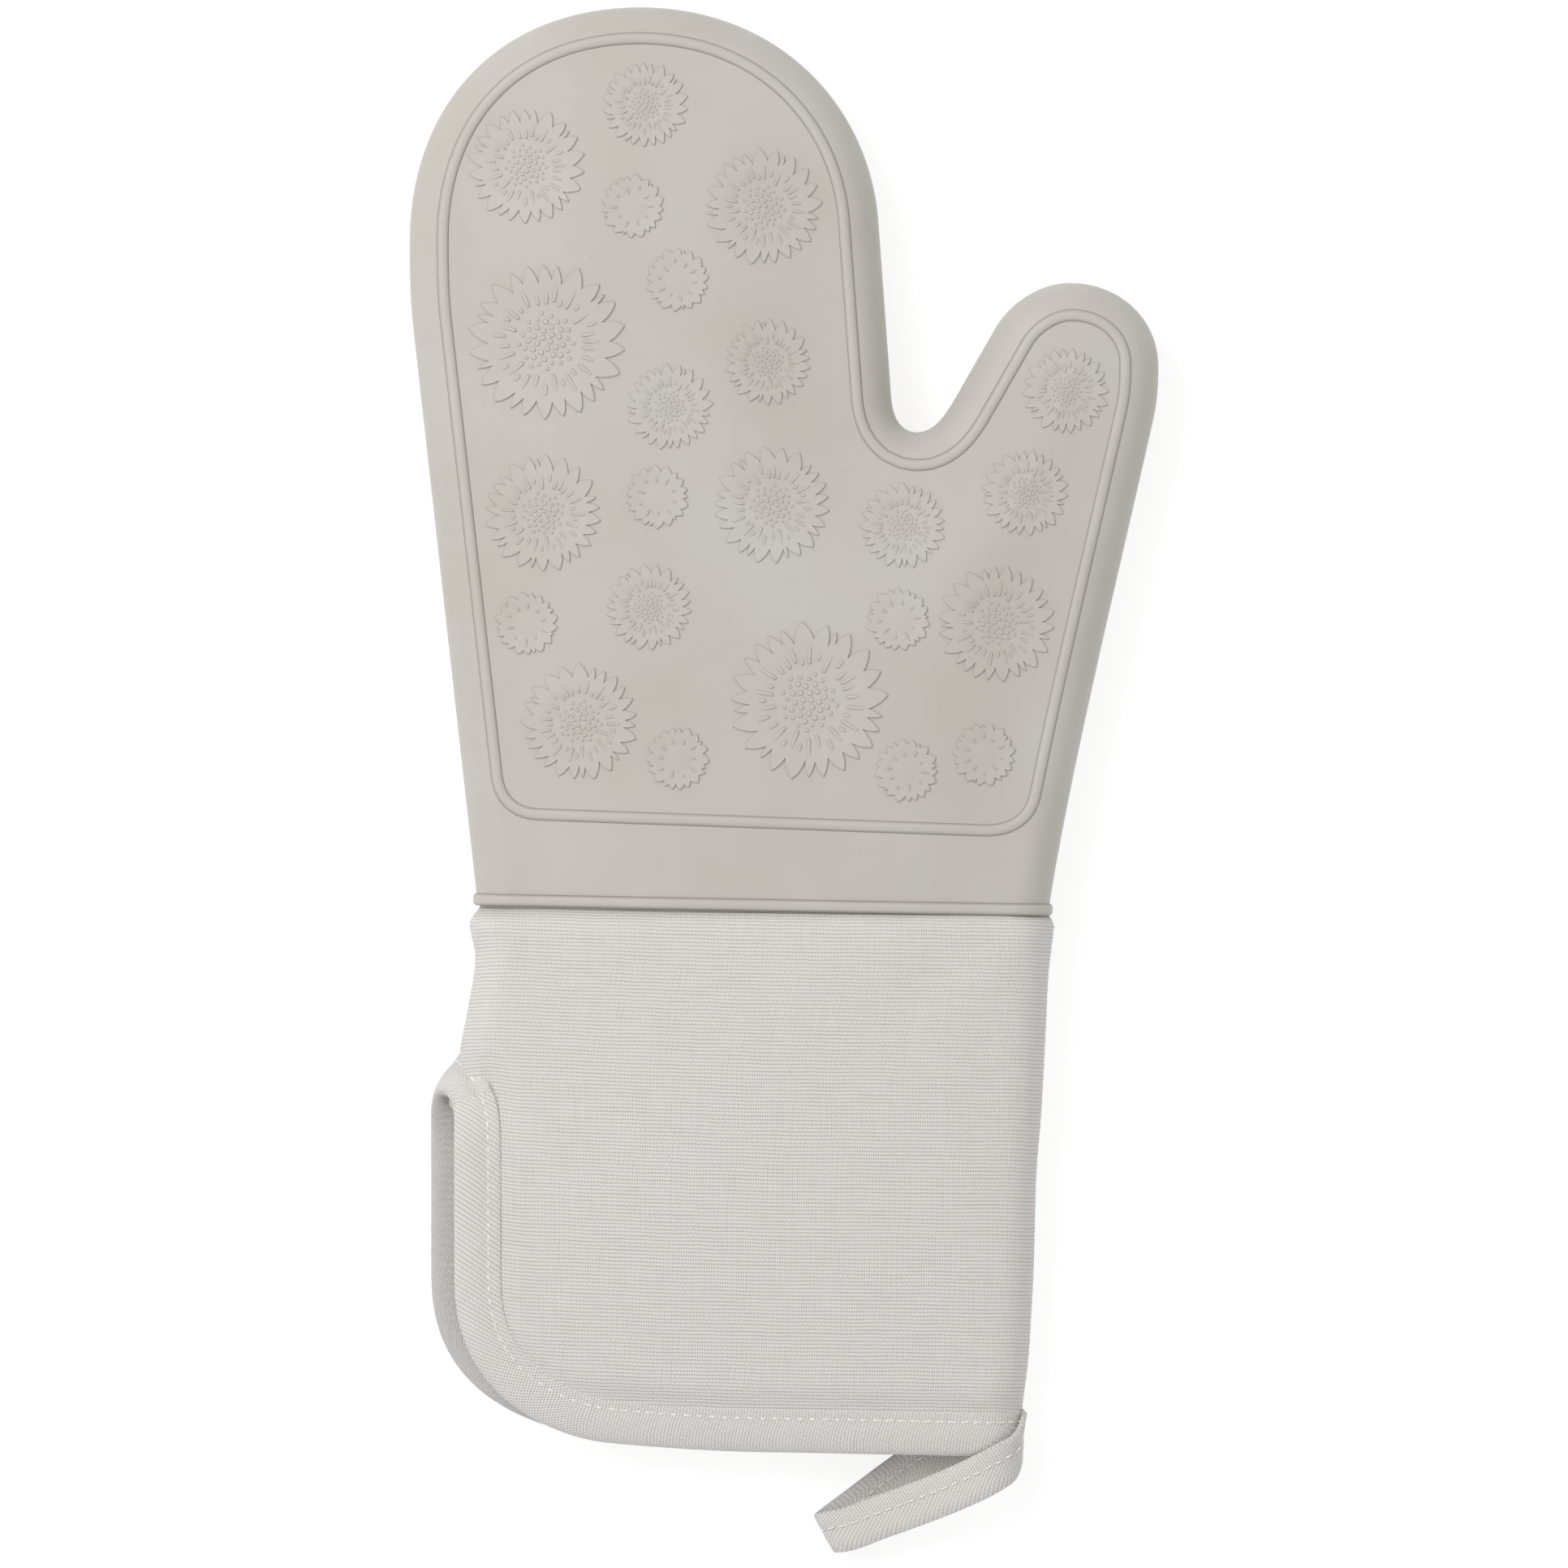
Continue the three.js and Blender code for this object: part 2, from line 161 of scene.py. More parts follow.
def tidy_up(obj, angle, merge=0.002):
    """Merges doubles, turns every face outwards and smooths the shading."""
    edit(obj, everything=True)
    bpy.ops.mesh.remove_doubles(threshold=merge * MM)
    bpy.ops.mesh.normals_make_consistent(inside=False)
    done()
    smooth(obj, angle)
    return obj


def copy_of(obj):
    only(obj)
    bpy.ops.object.duplicate()
    return bpy.context.object


def remove(*objects):
    only(*objects)
    bpy.ops.object.delete()


# %% [markdown]
# ## Lines and sheets
#
# Three shapes keep coming back: an outline drawn with straight and curved legs, a cloth laid out
# from a flat grid, and a section carried along a path. The grid also gives the cloth a UV map in
# metres, so that a weave can be as fine as the real one.


# %% Outlines, grids and swept sections
def trace(start, *legs, spacing=1.6):
    """Evenly spaced points along straight legs (x, y) and curved legs (two handles and an end)."""
    path = [np.array(start, float)]
    for leg in legs:
        leg = np.array(leg, float).reshape(-1, 2)
        if len(leg) == 1:
            path.append(leg[0])
            continue
        t = np.linspace(0, 1, 48)[1:, None]
        a, (b, c, d) = path[-1], leg
        path.extend((1 - t) ** 3 * a + 3 * (1 - t) ** 2 * t * b + 3 * (1 - t) * t**2 * c + t**3 * d)
    return respaced(np.array(path), spacing)


def travelled(path):
    """How far along a path each of its points is."""
    return np.r_[0, np.cumsum(np.linalg.norm(np.diff(path, axis=0), axis=1))]


def respaced(path, spacing):
    length = travelled(path)
    at = np.linspace(0, length[-1], max(2, round(length[-1] / spacing) + 1))
    return np.column_stack([np.interp(at, length, column) for column in path.T])


def soften(x, low, high):
    """0 below low, 1 above high, and a smooth step between."""
    t = np.clip((np.asarray(x, float) - low) / (high - low), 0, 1)
    return t * t * (3 - 2 * t)


def through(y, points):
    """A smooth curve through (y, value) points."""
    points = np.array(sorted(points), float)
    knots, values = points.T
    slopes = np.gradient(values, knots)
    i = np.clip(np.searchsorted(knots, y) - 1, 0, len(knots) - 2)
    step = knots[i + 1] - knots[i]
    t = np.clip((y - knots[i]) / step, 0, 1)
    return (
        values[i] * (1 + 2 * t) * (1 - t) ** 2
        + values[i + 1] * t * t * (3 - 2 * t)
        + step * t * (1 - t) * (slopes[i] * (1 - t) - slopes[i + 1] * t)
    )


def sheet(name, columns, rows, place):
    """A flat grid whose corners (s, t), from 0 to 1 each way, go where place puts them."""
    bpy.ops.mesh.primitive_grid_add(x_subdivisions=columns, y_subdivisions=rows, size=2)
    cloth = bpy.context.object
    cloth.name = name
    flat = corners(cloth)[:, :2] * MM / 2 + 0.5
    places = place(flat[:, 0], flat[:, 1])
    move_corners(cloth, places)
    column, row = np.rint(flat[:, 0] * columns).astype(int), np.rint(flat[:, 1] * rows).astype(int)
    laid = np.empty((rows + 1, columns + 1, 3))
    laid[row, column] = places
    across = np.linalg.norm(np.diff(laid, axis=1), axis=2).cumsum(axis=1)
    along = np.linalg.norm(np.diff(laid, axis=0), axis=2).cumsum(axis=0)
    across = np.hstack([np.zeros((rows + 1, 1)), across])
    across -= across[:, columns // 2, None]
    along = np.vstack([np.zeros((1, columns + 1)), along])
    corner = np.empty(len(cloth.data.loops), int)
    cloth.data.loops.foreach_get("vertex_index", corner)
    lengths = np.column_stack([across[row, column], along[row, column]])[corner] * MM
    cloth.data.uv_layers[0].data.foreach_set("uv", lengths.ravel())
    return cloth


def sweep(name, path, side, up, section, closed=(True, True), settle=None, crease=None):
    """Carries a section (sideways, up) along a path. settle may then move the corners onto a surface.

    crease says how deep in a corner each point of the section sits, from 0 to 1."""
    path, side, up, section = (np.asarray(x, float) for x in (path, side, up, section))
    if closed[0]:
        path, side, up = (np.vstack([x, x[:1]]) for x in (path, side, up))
    if closed[1]:
        section = np.vstack([section, section[:1]])

    def place(s, t):
        i = np.rint(t * (len(path) - 1)).astype(int)
        j = np.rint(s * (len(section) - 1)).astype(int)
        points = path[i] + side[i] * section[j, :1] + up[i] * section[j, 1:]
        return points if settle is None else settle(points)

    swept = sheet(name, len(section) - 1, len(path) - 1, place)
    if crease is not None:
        mark_crease(swept, np.tile([*crease, crease[0]][: len(section)], len(path)))
    return tidy_up(swept, angle=50)


def unit(rows):
    return rows / np.linalg.norm(rows, axis=-1, keepdims=True)


def headings(path, closed=False):
    """Unit vectors along a path."""
    if closed:
        return unit(np.roll(path, -1, axis=0) - np.roll(path, 1, axis=0))
    return unit(np.gradient(path, axis=0))


def beside(path, closed=False):
    """Unit vectors to the right of a flat path."""
    ahead = headings(path, closed)
    return np.column_stack([ahead[:, 1], -ahead[:, 0]])


def square_to(ahead, rows):
    """Unit vectors along rows, made square to ahead."""
    return unit(rows - (rows * ahead).sum(axis=-1, keepdims=True) * ahead)


def mirrored(half):
    """A whole section from one half, whose last point is on the middle line."""
    return half + [(-a, b) for a, b in half[-2::-1]]


# %% [markdown]
# ## The hand's outline and its faces
#
# Seen from the palm, the moulding has a long straight side, a round top, a tight crotch and a thumb.
# Both panels are flat inside and round down to a side wall at the edge. The palm panel is also
# crowned a little by the wadding under it. One function gives the height of a panel anywhere, so
# that whatever is moulded on it can be laid down exactly.

# %% Outline and panel heights
EDGE_ACROSS = 9.0  # reach of the rounded edge across the panel
EDGE_UP = 11.0  # and up the side
CROWN = 2.6
BEAD_Y = -28.4  # top of the bead, on the middle line
BEAD_WIDTH = 3.0
BEAD_TILT = math.radians(-1.05)

hand_outline = trace(
    (-71.4, -66),
    (-91.4, 113),
    (-92.1, 120, -92.2, 126, -92.2, 133),
    (-92.2, 167.8, -69.6, 191, -35.4, 191),
    (-1.4, 191, 20.8, 167, 23.2, 139),
    (26.4, 95),
    (26.8, 89.5, 29, 86.4, 32.8, 86.4),
    (37.5, 86.4, 40.3, 91.6, 43.4, 97),
    (52, 112),
    (55.2, 117.7, 62.5, 123.2, 70.4, 123.2),
    (82.5, 123.2, 92.2, 114.5, 92.2, 102.5),
    (92.2, 97, 91.8, 93, 90.6, 88),
    (82, 50, 71, 5, 65.6, -28.4),
    (59.8, -66),
)


def edge_distance(points, line=hand_outline):
    """How far each (x, y) is from the outline, or from another line."""
    a, b = line[:-1], line[1:]
    ab = b - a
    found = []
    for some in np.array_split(points, len(points) // 3000 + 1):
        ap = some[:, None] - a
        t = np.clip((ap * ab).sum(-1) / (ab**2).sum(-1), 0, 1)
        found.append(np.linalg.norm(ap - t[..., None] * ab, axis=-1).min(axis=1))
    return np.concatenate(found)


def crown_at(distance):
    return CROWN * soften(distance, EDGE_ACROSS - 1, 44)


def panel_height(points, palm):
    """Height of the palm panel's or the back panel's face at each (x, y)."""
    distance = edge_distance(points)
    fall = 1 - np.sqrt(1 - np.clip(1 - distance / EDGE_ACROSS, 0, 1) ** 2)
    if palm:
        return PALM_Z - EDGE_UP * fall + crown_at(distance)
    return BACK_Z + EDGE_UP * fall


def on_panel(points, palm):
    """Stands points whose z is a height over the panel onto it."""
    points[:, 2] = panel_height(points[:, :2], palm) + (points[:, 2] if palm else -points[:, 2])
    return points


print(f"outline of {len(hand_outline)} points")

# %% [markdown]
# ## The silicone shell
#
# The shell is moulded in one shot, with a wall 2 mm thick. Here a disc is pulled to the outline and
# extruded ring by ring, each ring further in and a little higher, which rounds its edge like a
# quarter of an ellipse. The face left in the middle is sliced into small ones so that it can take
# the crown. A flipped copy is the back, the two are bridged by the side wall, the wrist end is cut
# off with a bisect, and Solidify gives the wall its thickness. The wadding and the lining glove
# inside are made by the same function, further in.


# %% A panel with a rounded edge, and the glove made of two
def extruded_rings(rings):
    """A disc pulled to the first ring of corners, then extruded to each further ring."""
    bpy.ops.mesh.primitive_circle_add(vertices=len(rings[0]), radius=0.01, fill_type="NGON")
    made = bpy.context.object
    for step, ring in enumerate(rings):
        if step:
            edit(made, "FACE")
            bpy.ops.mesh.extrude_region_move()
            done()
        places = corners(made)
        order = slice(None)
        picked = np.flatnonzero([vertex.select for vertex in made.data.vertices])
        if step:
            # an extruded corner still lies on the one it came from
            order = [((rings[step - 1] - place) ** 2).sum(axis=1).argmin() for place in places[picked]]
        places[picked] = ring[order]
        move_corners(made, places)
    # the first disc stayed behind as a floor
    pick(made, lambda face: max(face.vertices) < len(rings[0]))
    edit(made, "FACE")
    bpy.ops.mesh.delete(type="ONLY_FACE")
    done()
    pick(made, lambda face: len(face.vertices) > 4)
    return made


def rounded_panel(inset, rings=9, slice_size=4.0):
    inwards = beside(hand_outline)
    shape = []
    for turn in np.radians(np.linspace(0, 90, rings + 1)):
        line = hand_outline + inwards * (inset + (EDGE_ACROSS - inset) * (1 - math.cos(turn)))
        z = PALM_Z - EDGE_UP + (EDGE_UP - inset) * math.sin(turn)
        shape.append(np.column_stack([line, np.full(len(line), z)]))
    panel = extruded_rings(shape)
    for axis, low, high in ((0, -90, 92), (1, -64, 190)):
        for at in np.arange(low, high, slice_size):
            level = corners(panel)[:, 2] > PALM_Z - inset - 0.01
            pick(panel, lambda face: all(level[v] for v in face.vertices))
            edit(panel, "FACE")
            point, normal = [0, 0, 0], [0, 0, 0]
            point[axis], normal[axis] = at * MM, 1
            bpy.ops.mesh.bisect(plane_co=point, plane_no=normal)
            done()
    return panel


def glove(name, inset, wall, **size):
    """Both panels, crowned, bridged, cut at the wrist and given a wall."""
    palm = rounded_panel(inset, **size)
    back = copy_of(palm)
    places = corners(back)
    places[:, 2] = BACK_Z + PALM_Z - places[:, 2]
    move_corners(back, places)
    places = corners(palm)
    places[:, 2] += crown_at(edge_distance(places[:, :2]))
    move_corners(palm, places)
    whole = join(name, palm, back)
    edit_open_edges(whole)
    bpy.ops.mesh.bridge_edge_loops()
    bpy.ops.mesh.select_all(action="SELECT")
    cut = BEAD_Y - BEAD_WIDTH + 0.4
    across = (math.sin(BEAD_TILT), -math.cos(BEAD_TILT), 0)
    bpy.ops.mesh.bisect(plane_co=(0, cut * MM, 0), plane_no=across, clear_outer=True)
    bpy.ops.mesh.select_all(action="SELECT")
    bpy.ops.mesh.normals_make_consistent(inside=False)
    done()
    modify(whole, "SOLIDIFY", thickness=wall * MM, offset=-1)
    return tidy_up(whole, angle=35)


shell_wall = glove("silicone_shell_moulding", 0, 2.0)
print(len(shell_wall.data.polygons), "faces in the shell's wall")

# %% [markdown]
# ## Bead and ribs
#
# The bead is a rounded ridge where the silicone ends, and the rib is a soft line that frames the
# pattern on each face, a finger's width inside the edge. Both are one section carried along a closed
# path. The rib's corners are settled onto the panel, so it follows the crown and the rounded edge.


# %% A ring round the wrist, and the bead on it
def wrist_ring(y_at, x_low, x_high, steps=14, run=40):
    """A closed ring round the tube, with the way out from it at every point."""
    turn = np.radians(np.linspace(0, 90, steps))
    x_in, fall = EDGE_ACROSS * (1 - np.cos(turn)), 1 - np.sin(turn)
    flat = np.linspace(x_low + EDGE_ACROSS, x_high - EDGE_ACROSS, run)[1:-1]
    xs = np.r_[x_low + x_in, flat, (x_high - x_in)[::-1]]
    drop = 0.9 * (PALM_Z - BACK_Z) / 2 * np.r_[fall, 0 * flat, fall[::-1]]
    z_up = PALM_Z - drop + crown_at(np.minimum(xs - x_low, x_high - xs))
    z_down = BACK_Z + drop
    ring = np.column_stack([np.r_[xs, xs[::-1]], np.zeros(2 * len(xs)), np.r_[z_up, z_down[::-1]]])
    ring[:, 1] = y_at + ring[:, 0] * math.tan(BEAD_TILT)
    ahead = headings(ring, closed=True)
    return ring, unit(np.column_stack([-ahead[:, 2], np.zeros(len(ring)), ahead[:, 0]]))


left_side = hand_outline[: np.argmax(hand_outline[:, 1] > 60)]
right_side = hand_outline[::-1][: np.argmax(hand_outline[::-1, 1] > 60)]
bead_middle = BEAD_Y - BEAD_WIDTH / 2
wrist_left = float(np.interp(bead_middle + 1.3, left_side[:, 1], left_side[:, 0]))
wrist_right = float(np.interp(bead_middle - 1.2, right_side[:, 1], right_side[:, 0]))
ring, out = wrist_ring(bead_middle, wrist_left, wrist_right)
half = BEAD_WIDTH / 2
bead_section = mirrored(
    [(half, -0.8), (half, 0.25), (half - 0.35, 0.75), (half - 0.8, BEAD_PROUD - 0.02), (0, BEAD_PROUD)]
)
bead_crease = [1, 1, 0.3, 0, 0, 0, 0.3, 1, 1]
bead = sweep("bead", ring, np.tile([0, 1, 0], (len(ring), 1)), out, bead_section, crease=bead_crease)

# %% The rib round each face
RIB_INSET = 8.6
RIB_WIDTH = 2.7
RIB_HIGH = 0.6


def rib_floor(x):
    """Where the rib's run above the bead lies."""
    return -9.8 - 0.035 * x


def rib_path():
    """The outline drawn in by the rib's inset, closed by a run above the bead."""
    inner = hand_outline + RIB_INSET * beside(hand_outline)
    kept = inner[inner[:, 1] > rib_floor(inner[:, 0]) + 9]
    left, right = kept[0], kept[-1]
    low_left = np.array([left[0] + 1.0, rib_floor(left[0])])
    low_right = np.array([right[0] - 1.8, rib_floor(right[0])])
    bottom = trace(
        right,
        (*(right * 0.4 + low_right * 0.6), *(low_right + (-3.5, 0.1)), *(low_right + (-11, 0.4))),
        tuple(low_left + (9, -0.3)),
        (*(low_left + (3, -0.1)), *(left * 0.4 + low_left * 0.6), *left),
    )
    return respaced(np.vstack([kept, bottom[1:]]), 1.5)[:-1]


def rib(palm):
    path = rib_path()
    zero = np.zeros(len(path))
    half = RIB_WIDTH / 2
    section = mirrored(
        [(half + 0.3, -0.5), (half + 0.15, 0.0), (half - 0.15, 0.24), (half - 0.55, 0.5), (0, RIB_HIGH)]
    )
    crease = [1, 1, 0.35, 0, 0, 0, 0.35, 1, 1]
    side = np.column_stack([-beside(path, closed=True), zero])
    up = np.tile([0, 0, 1], (len(path), 1))

    def settle(points):
        return on_panel(points, palm)

    return sweep("rib", np.column_stack([path, zero]), side, up, section, settle=settle, crease=crease)


shell = join("silicone_shell_moulding", shell_wall, bead, rib(True), rib(False))
print("shell, bead and ribs:", len(shell.data.polygons), "faces")

# %% [markdown]
# ## Moulded flowers
#
# Each flower is a thin plate with pointed petals, dished round a head of round seeds, with short
# raised strokes between the head and the petals. The petals are laid out by a formula that makes
# them wide and narrow in turn, and the seeds follow the golden angle, as they do on a real flower
# head. Two designs are built once: one with seeds, and a small plain one. Every flower is a copy,
# scaled and laid on its face.


# %% Petals, plate, seeds and strokes
SEEDED_RADIUS, PLAIN_RADIUS = 19.5, 7.8
def petal_line(petals, per_petal, root):
    """Angles round the flower, and its reach there as a share of its radius."""
    number = np.arange(petals)
    width = 1 + 0.36 * np.sin(2.1 * number + 0.5) + 0.26 * np.sin(4.7 * number + 2)
    lean = 0.13 * np.sin(1.3 * number + 1)
    start = np.r_[0, np.cumsum(width)] / width.sum() * 2 * math.pi
    tip = 0.9 + 0.1 * width / width.max()
    valley = root + 0.035 * np.sin(3.1 * number + 1)
    angle, reach = [], []
    for i in range(petals):
        u = np.arange(per_petal) / per_petal
        foot = valley[i] * (1 - u) + valley[(i + 1) % petals] * u
        rise = np.sin(math.pi / 2 * (1 - np.abs(2 * u - 1))) ** 0.8 * 0.45 + 0.55 * (1 - np.abs(2 * u - 1))
        angle.append(start[i] + (u + lean[i] * np.sin(math.pi * u)) * (start[i + 1] - start[i]))
        reach.append(foot + (tip[i] - foot) * rise)
    return np.concatenate(angle), np.concatenate(reach)


def flower_plate(radius, petals, per_petal, root, profile):
    """A disc pulled to the petals, then extruded ring by ring: (share of reach, height, roundness)."""
    angle, reach = petal_line(petals, per_petal, root)
    rings = []
    for share, height, roundness in profile:
        spread = radius * share * (reach * (1 - roundness) + roundness)
        flat = [spread * np.cos(angle), spread * np.sin(angle), np.full(len(angle), height)]
        rings.append(np.column_stack(flat))
    # the plate's foot is a little wider, and sunk into the panel
    rings[0][:, :2] += 0.28 * unit(rings[0][:, :2])
    plate = extruded_rings(rings)
    mark_crease(plate, corners(plate)[:, 2] < -0.2)
    edit(plate, "FACE")
    bpy.ops.mesh.merge(type="CENTER")
    done()
    return plate


bpy.ops.mesh.primitive_uv_sphere_add(segments=8, ring_count=4, radius=MM)
seed = bpy.context.object
seed.name = "seed"
mark_crease(seed, 0.6 * (corners(seed)[:, 2] < 0.1))


def stroke_of(x, y, heading, length, width, height, z):
    """A seed stretched to a short raised stroke."""
    twin = copy_of(seed)
    places = corners(twin)
    places *= (width / 2, width / 2, height)
    places[:, 0] += np.sign(np.round(places[:, 0], 3)) * max(length - width, 0) / 2
    c, s = math.cos(heading), math.sin(heading)
    turned = places @ np.array([[c, s, 0], [-s, c, 0], [0, 0, 1]])
    move_corners(twin, turned + (x, y, z))
    return twin


def flower_design(name, radius, petals, root, profile, strokes, seeds):
    plate = flower_plate(radius, petals, 8, root, profile)
    shares, heights = zip(*sorted((share, height) for share, height, _ in profile[1:]))
    pieces = [plate]
    for i in range(strokes):
        heading = 2 * math.pi * i / strokes + 0.04 * math.sin(5.3 * i)
        length = radius * (0.17 + 0.08 * math.sin(2.7 * i + 0.4))
        middle = radius * (0.56 + 0.05 * math.sin(3.9 * i))
        z = float(np.interp(middle / radius, shares, heights))
        x, y = middle * math.cos(heading), middle * math.sin(heading)
        pieces.append(stroke_of(x, y, heading, length, 0.95 * radius / SEEDED_RADIUS + 0.1, 0.34, z))
    for i in range(seeds):
        out = 0.365 * radius * math.sqrt((i + 0.5) / seeds)
        size = radius * (0.08 if i < seeds * 0.5 else 0.058)
        z = float(np.interp(out / radius, shares, heights)) - 0.02
        turn = i * math.pi * (3 - math.sqrt(5))
        pieces.append(stroke_of(out * math.cos(turn), out * math.sin(turn), 0, size, size, 0.36, z))
    return join(name, *pieces)


seeded = flower_design(
    "seeded_flower", SEEDED_RADIUS, 26, 0.76,
    [(1, -0.3, 0), (1, 0.38, 0), (0.985, 0.52, 0), (0.8, 0.5, 0.6), (0.6, 0.42, 1), (0.44, 0.2, 1),
     (0.37, 0.14, 1), (0.2, 0.26, 1), (0.08, 0.3, 1)],
    strokes=31, seeds=42,
)
plain = flower_design(
    "plain_flower", PLAIN_RADIUS, 21, 0.82,
    [(1, -0.3, 0), (1, 0.34, 0), (0.97, 0.46, 0), (0.75, 0.44, 0.8), (0.52, 0.3, 1), (0.4, 0.26, 1),
     (0.26, 0.36, 1), (0.1, 0.42, 1)],
    strokes=10, seeds=0,
)
print("flower designs:", len(seeded.data.polygons), "and", len(plain.data.polygons), "faces")

# %% Laying the flowers on both faces
FLOWERS = [
    (seeded, SEEDED_RADIUS, [(-58, 108), (6, 20)]),
    (seeded, 14.5, [(-63, 151), (-5, 141), (-59, 66), (-3, 68), (-50, 15), (52, 39)]),
    (seeded, 10.7, [(-34, 166), (-28, 92), (-4, 103), (-33, 43), (29, 63), (59, 71), (69, 96)]),
    (plain, PLAIN_RADIUS, [(-37, 141), (-26, 123), (-31, 70), (-63, 39), (28, 40), (-26, 6), (30, 3), (49, 7)]),
]


def laid_flowers(name, palm):
    pieces = []
    for design, radius, places in FLOWERS:
        scale = radius / (SEEDED_RADIUS if design is seeded else PLAIN_RADIUS)
        for number, (x, y) in enumerate(places):
            twin = copy_of(design)
            c, s = (scale * f(0.5 * number) for f in (math.cos, math.sin))
            shape = corners(twin)
            ground_x = shape[:, 0] * c - shape[:, 1] * s + x
            ground_y = shape[:, 0] * s + shape[:, 1] * c + y
            lift = shape[:, 2] * (0.55 + 0.45 * scale)
            move_corners(twin, np.column_stack([ground_x, ground_y, lift]))
            pieces.append(twin)
    whole = join(name, *pieces)
    move_corners(whole, on_panel(corners(whole), palm))
    return tidy_up(whole, angle=30, merge=0.0)


palm_flowers = laid_flowers("palm_flowers", True)
back_flowers = laid_flowers("back_flowers", False)
remove(seeded, plain, seed)
print("flowers:", len(palm_flowers.data.polygons), "faces a side")

# %% [markdown]
# ## Wadding and lining glove in the hand
#
# These are hidden unless you look in at the mouth, so they are the same glove with fewer slices: a
# thick soft one, and a thin woven one inside it.

# %% Inner gloves
hand_wadding = glove("hand_wadding", 2.4, 2.6, rings=4, slice_size=14)
hand_lining = glove("hand_lining", 5.4, 0.8, rings=4, slice_size=14)

# %% [markdown]
# ## The cuff's flaps
#
# The cuff is two padded flaps joined at the thumb side and, above the slit, at the other side. Each
# flap is laid out as a flat cloth whose corners are sent to their place: across, it comes up from
# the side seam, rounds over and runs to the other side; along, it goes from under the bead to the
# mouth. How far below the surface a layer lies is its depth, so one function gives the cover, the
# lining and both faces of the wadding.

# %% Where a flap's layers lie
MOUTH_Y = -164.4
SLIT_TOP_Y = -70.0
CUFF_EDGE = 8.5  # reach of the cuff's rounded side across the flap
bead_foot = BEAD_Y - BEAD_WIDTH
# the cuff along y: its left and right sides, and its palm and back faces
LEFT = [(-164, -84), (-120, -82), (-90, -81.2), (-76, -81), (-70, -80.4), (-64, -79.6), (-58, -78.4),
        (-52, -77.3), (-46, -76.3), (-41, -76.2), (-37, -77.2), (-34, -77.4), (-32.4, -76.6), (-31, -75.2),
        (-29, -74.6)]
RIGHT = [(-166, 58.0), (-155, 58.7), (-143, 60.2), (-131, 61.0), (-119, 61.6), (-107, 61.9), (-95, 62.3),
         (-83, 63.3), (-71, 64.0), (-59, 64.6), (-47, 65.2), (-38, 66.2), (-35, 66.5), (-33.3, 66.0),
         (-32, 64.6), (-29, 63.6)]
TOP = [(-166, 19.6), (-150, 20.6), (-120, 22.2), (-90, 23.7), (-60, 25.0), (-45, 25.9), (-38, 26.3),
       (-34.5, 26.2), (-32.8, 25.5), (-31.6, 24.2), (-29, 23.6)]
BOTTOM = [(-166, 1.3), (-120, 1.0), (-60, 0.9), (-38, 0.8), (-34, 1.0), (-32.6, 1.6), (-31.6, 2.6),
          (-29, 3.2)]


def slit_edge(slit_x):
    """The flap's edge from the top of the slit, round the corner and along the mouth."""
    return trace(
        (slit_x, -80), (slit_x, -124), (slit_x + 0.5, -146, slit_x + 16, -158, -46, -161.8),
        (-30, -163.3, -15, MOUTH_Y, 0, MOUTH_Y), (58.5, MOUTH_Y - 1.2), (66, MOUTH_Y - 1.3),
    )


SLIT_X = {"palm": -80.8, "back": -87.2}
flap_edge = {side: slit_edge(x) for side, x in SLIT_X.items()}
HALF_PAD = 2.45  # half the thickness of cover, wadding and lining together
PINCH = 0.34  # how much of it the binding squeezes out
SHORT = 1.6  # how far the layers stop short of the bound edge


def flap_height(side, y):
    """Height of a flap's outer face, and of the middle of the tube, at y."""
    top, low = through(y, TOP), through(y, BOTTOM)
    return (top if side == "palm" else low), (top + low) / 2


def opened(y):
    """1 where the slit parts the flaps, 0 where they are sewn together."""
    return 1 - soften(y, SLIT_TOP_Y - 18, SLIT_TOP_Y + 2)


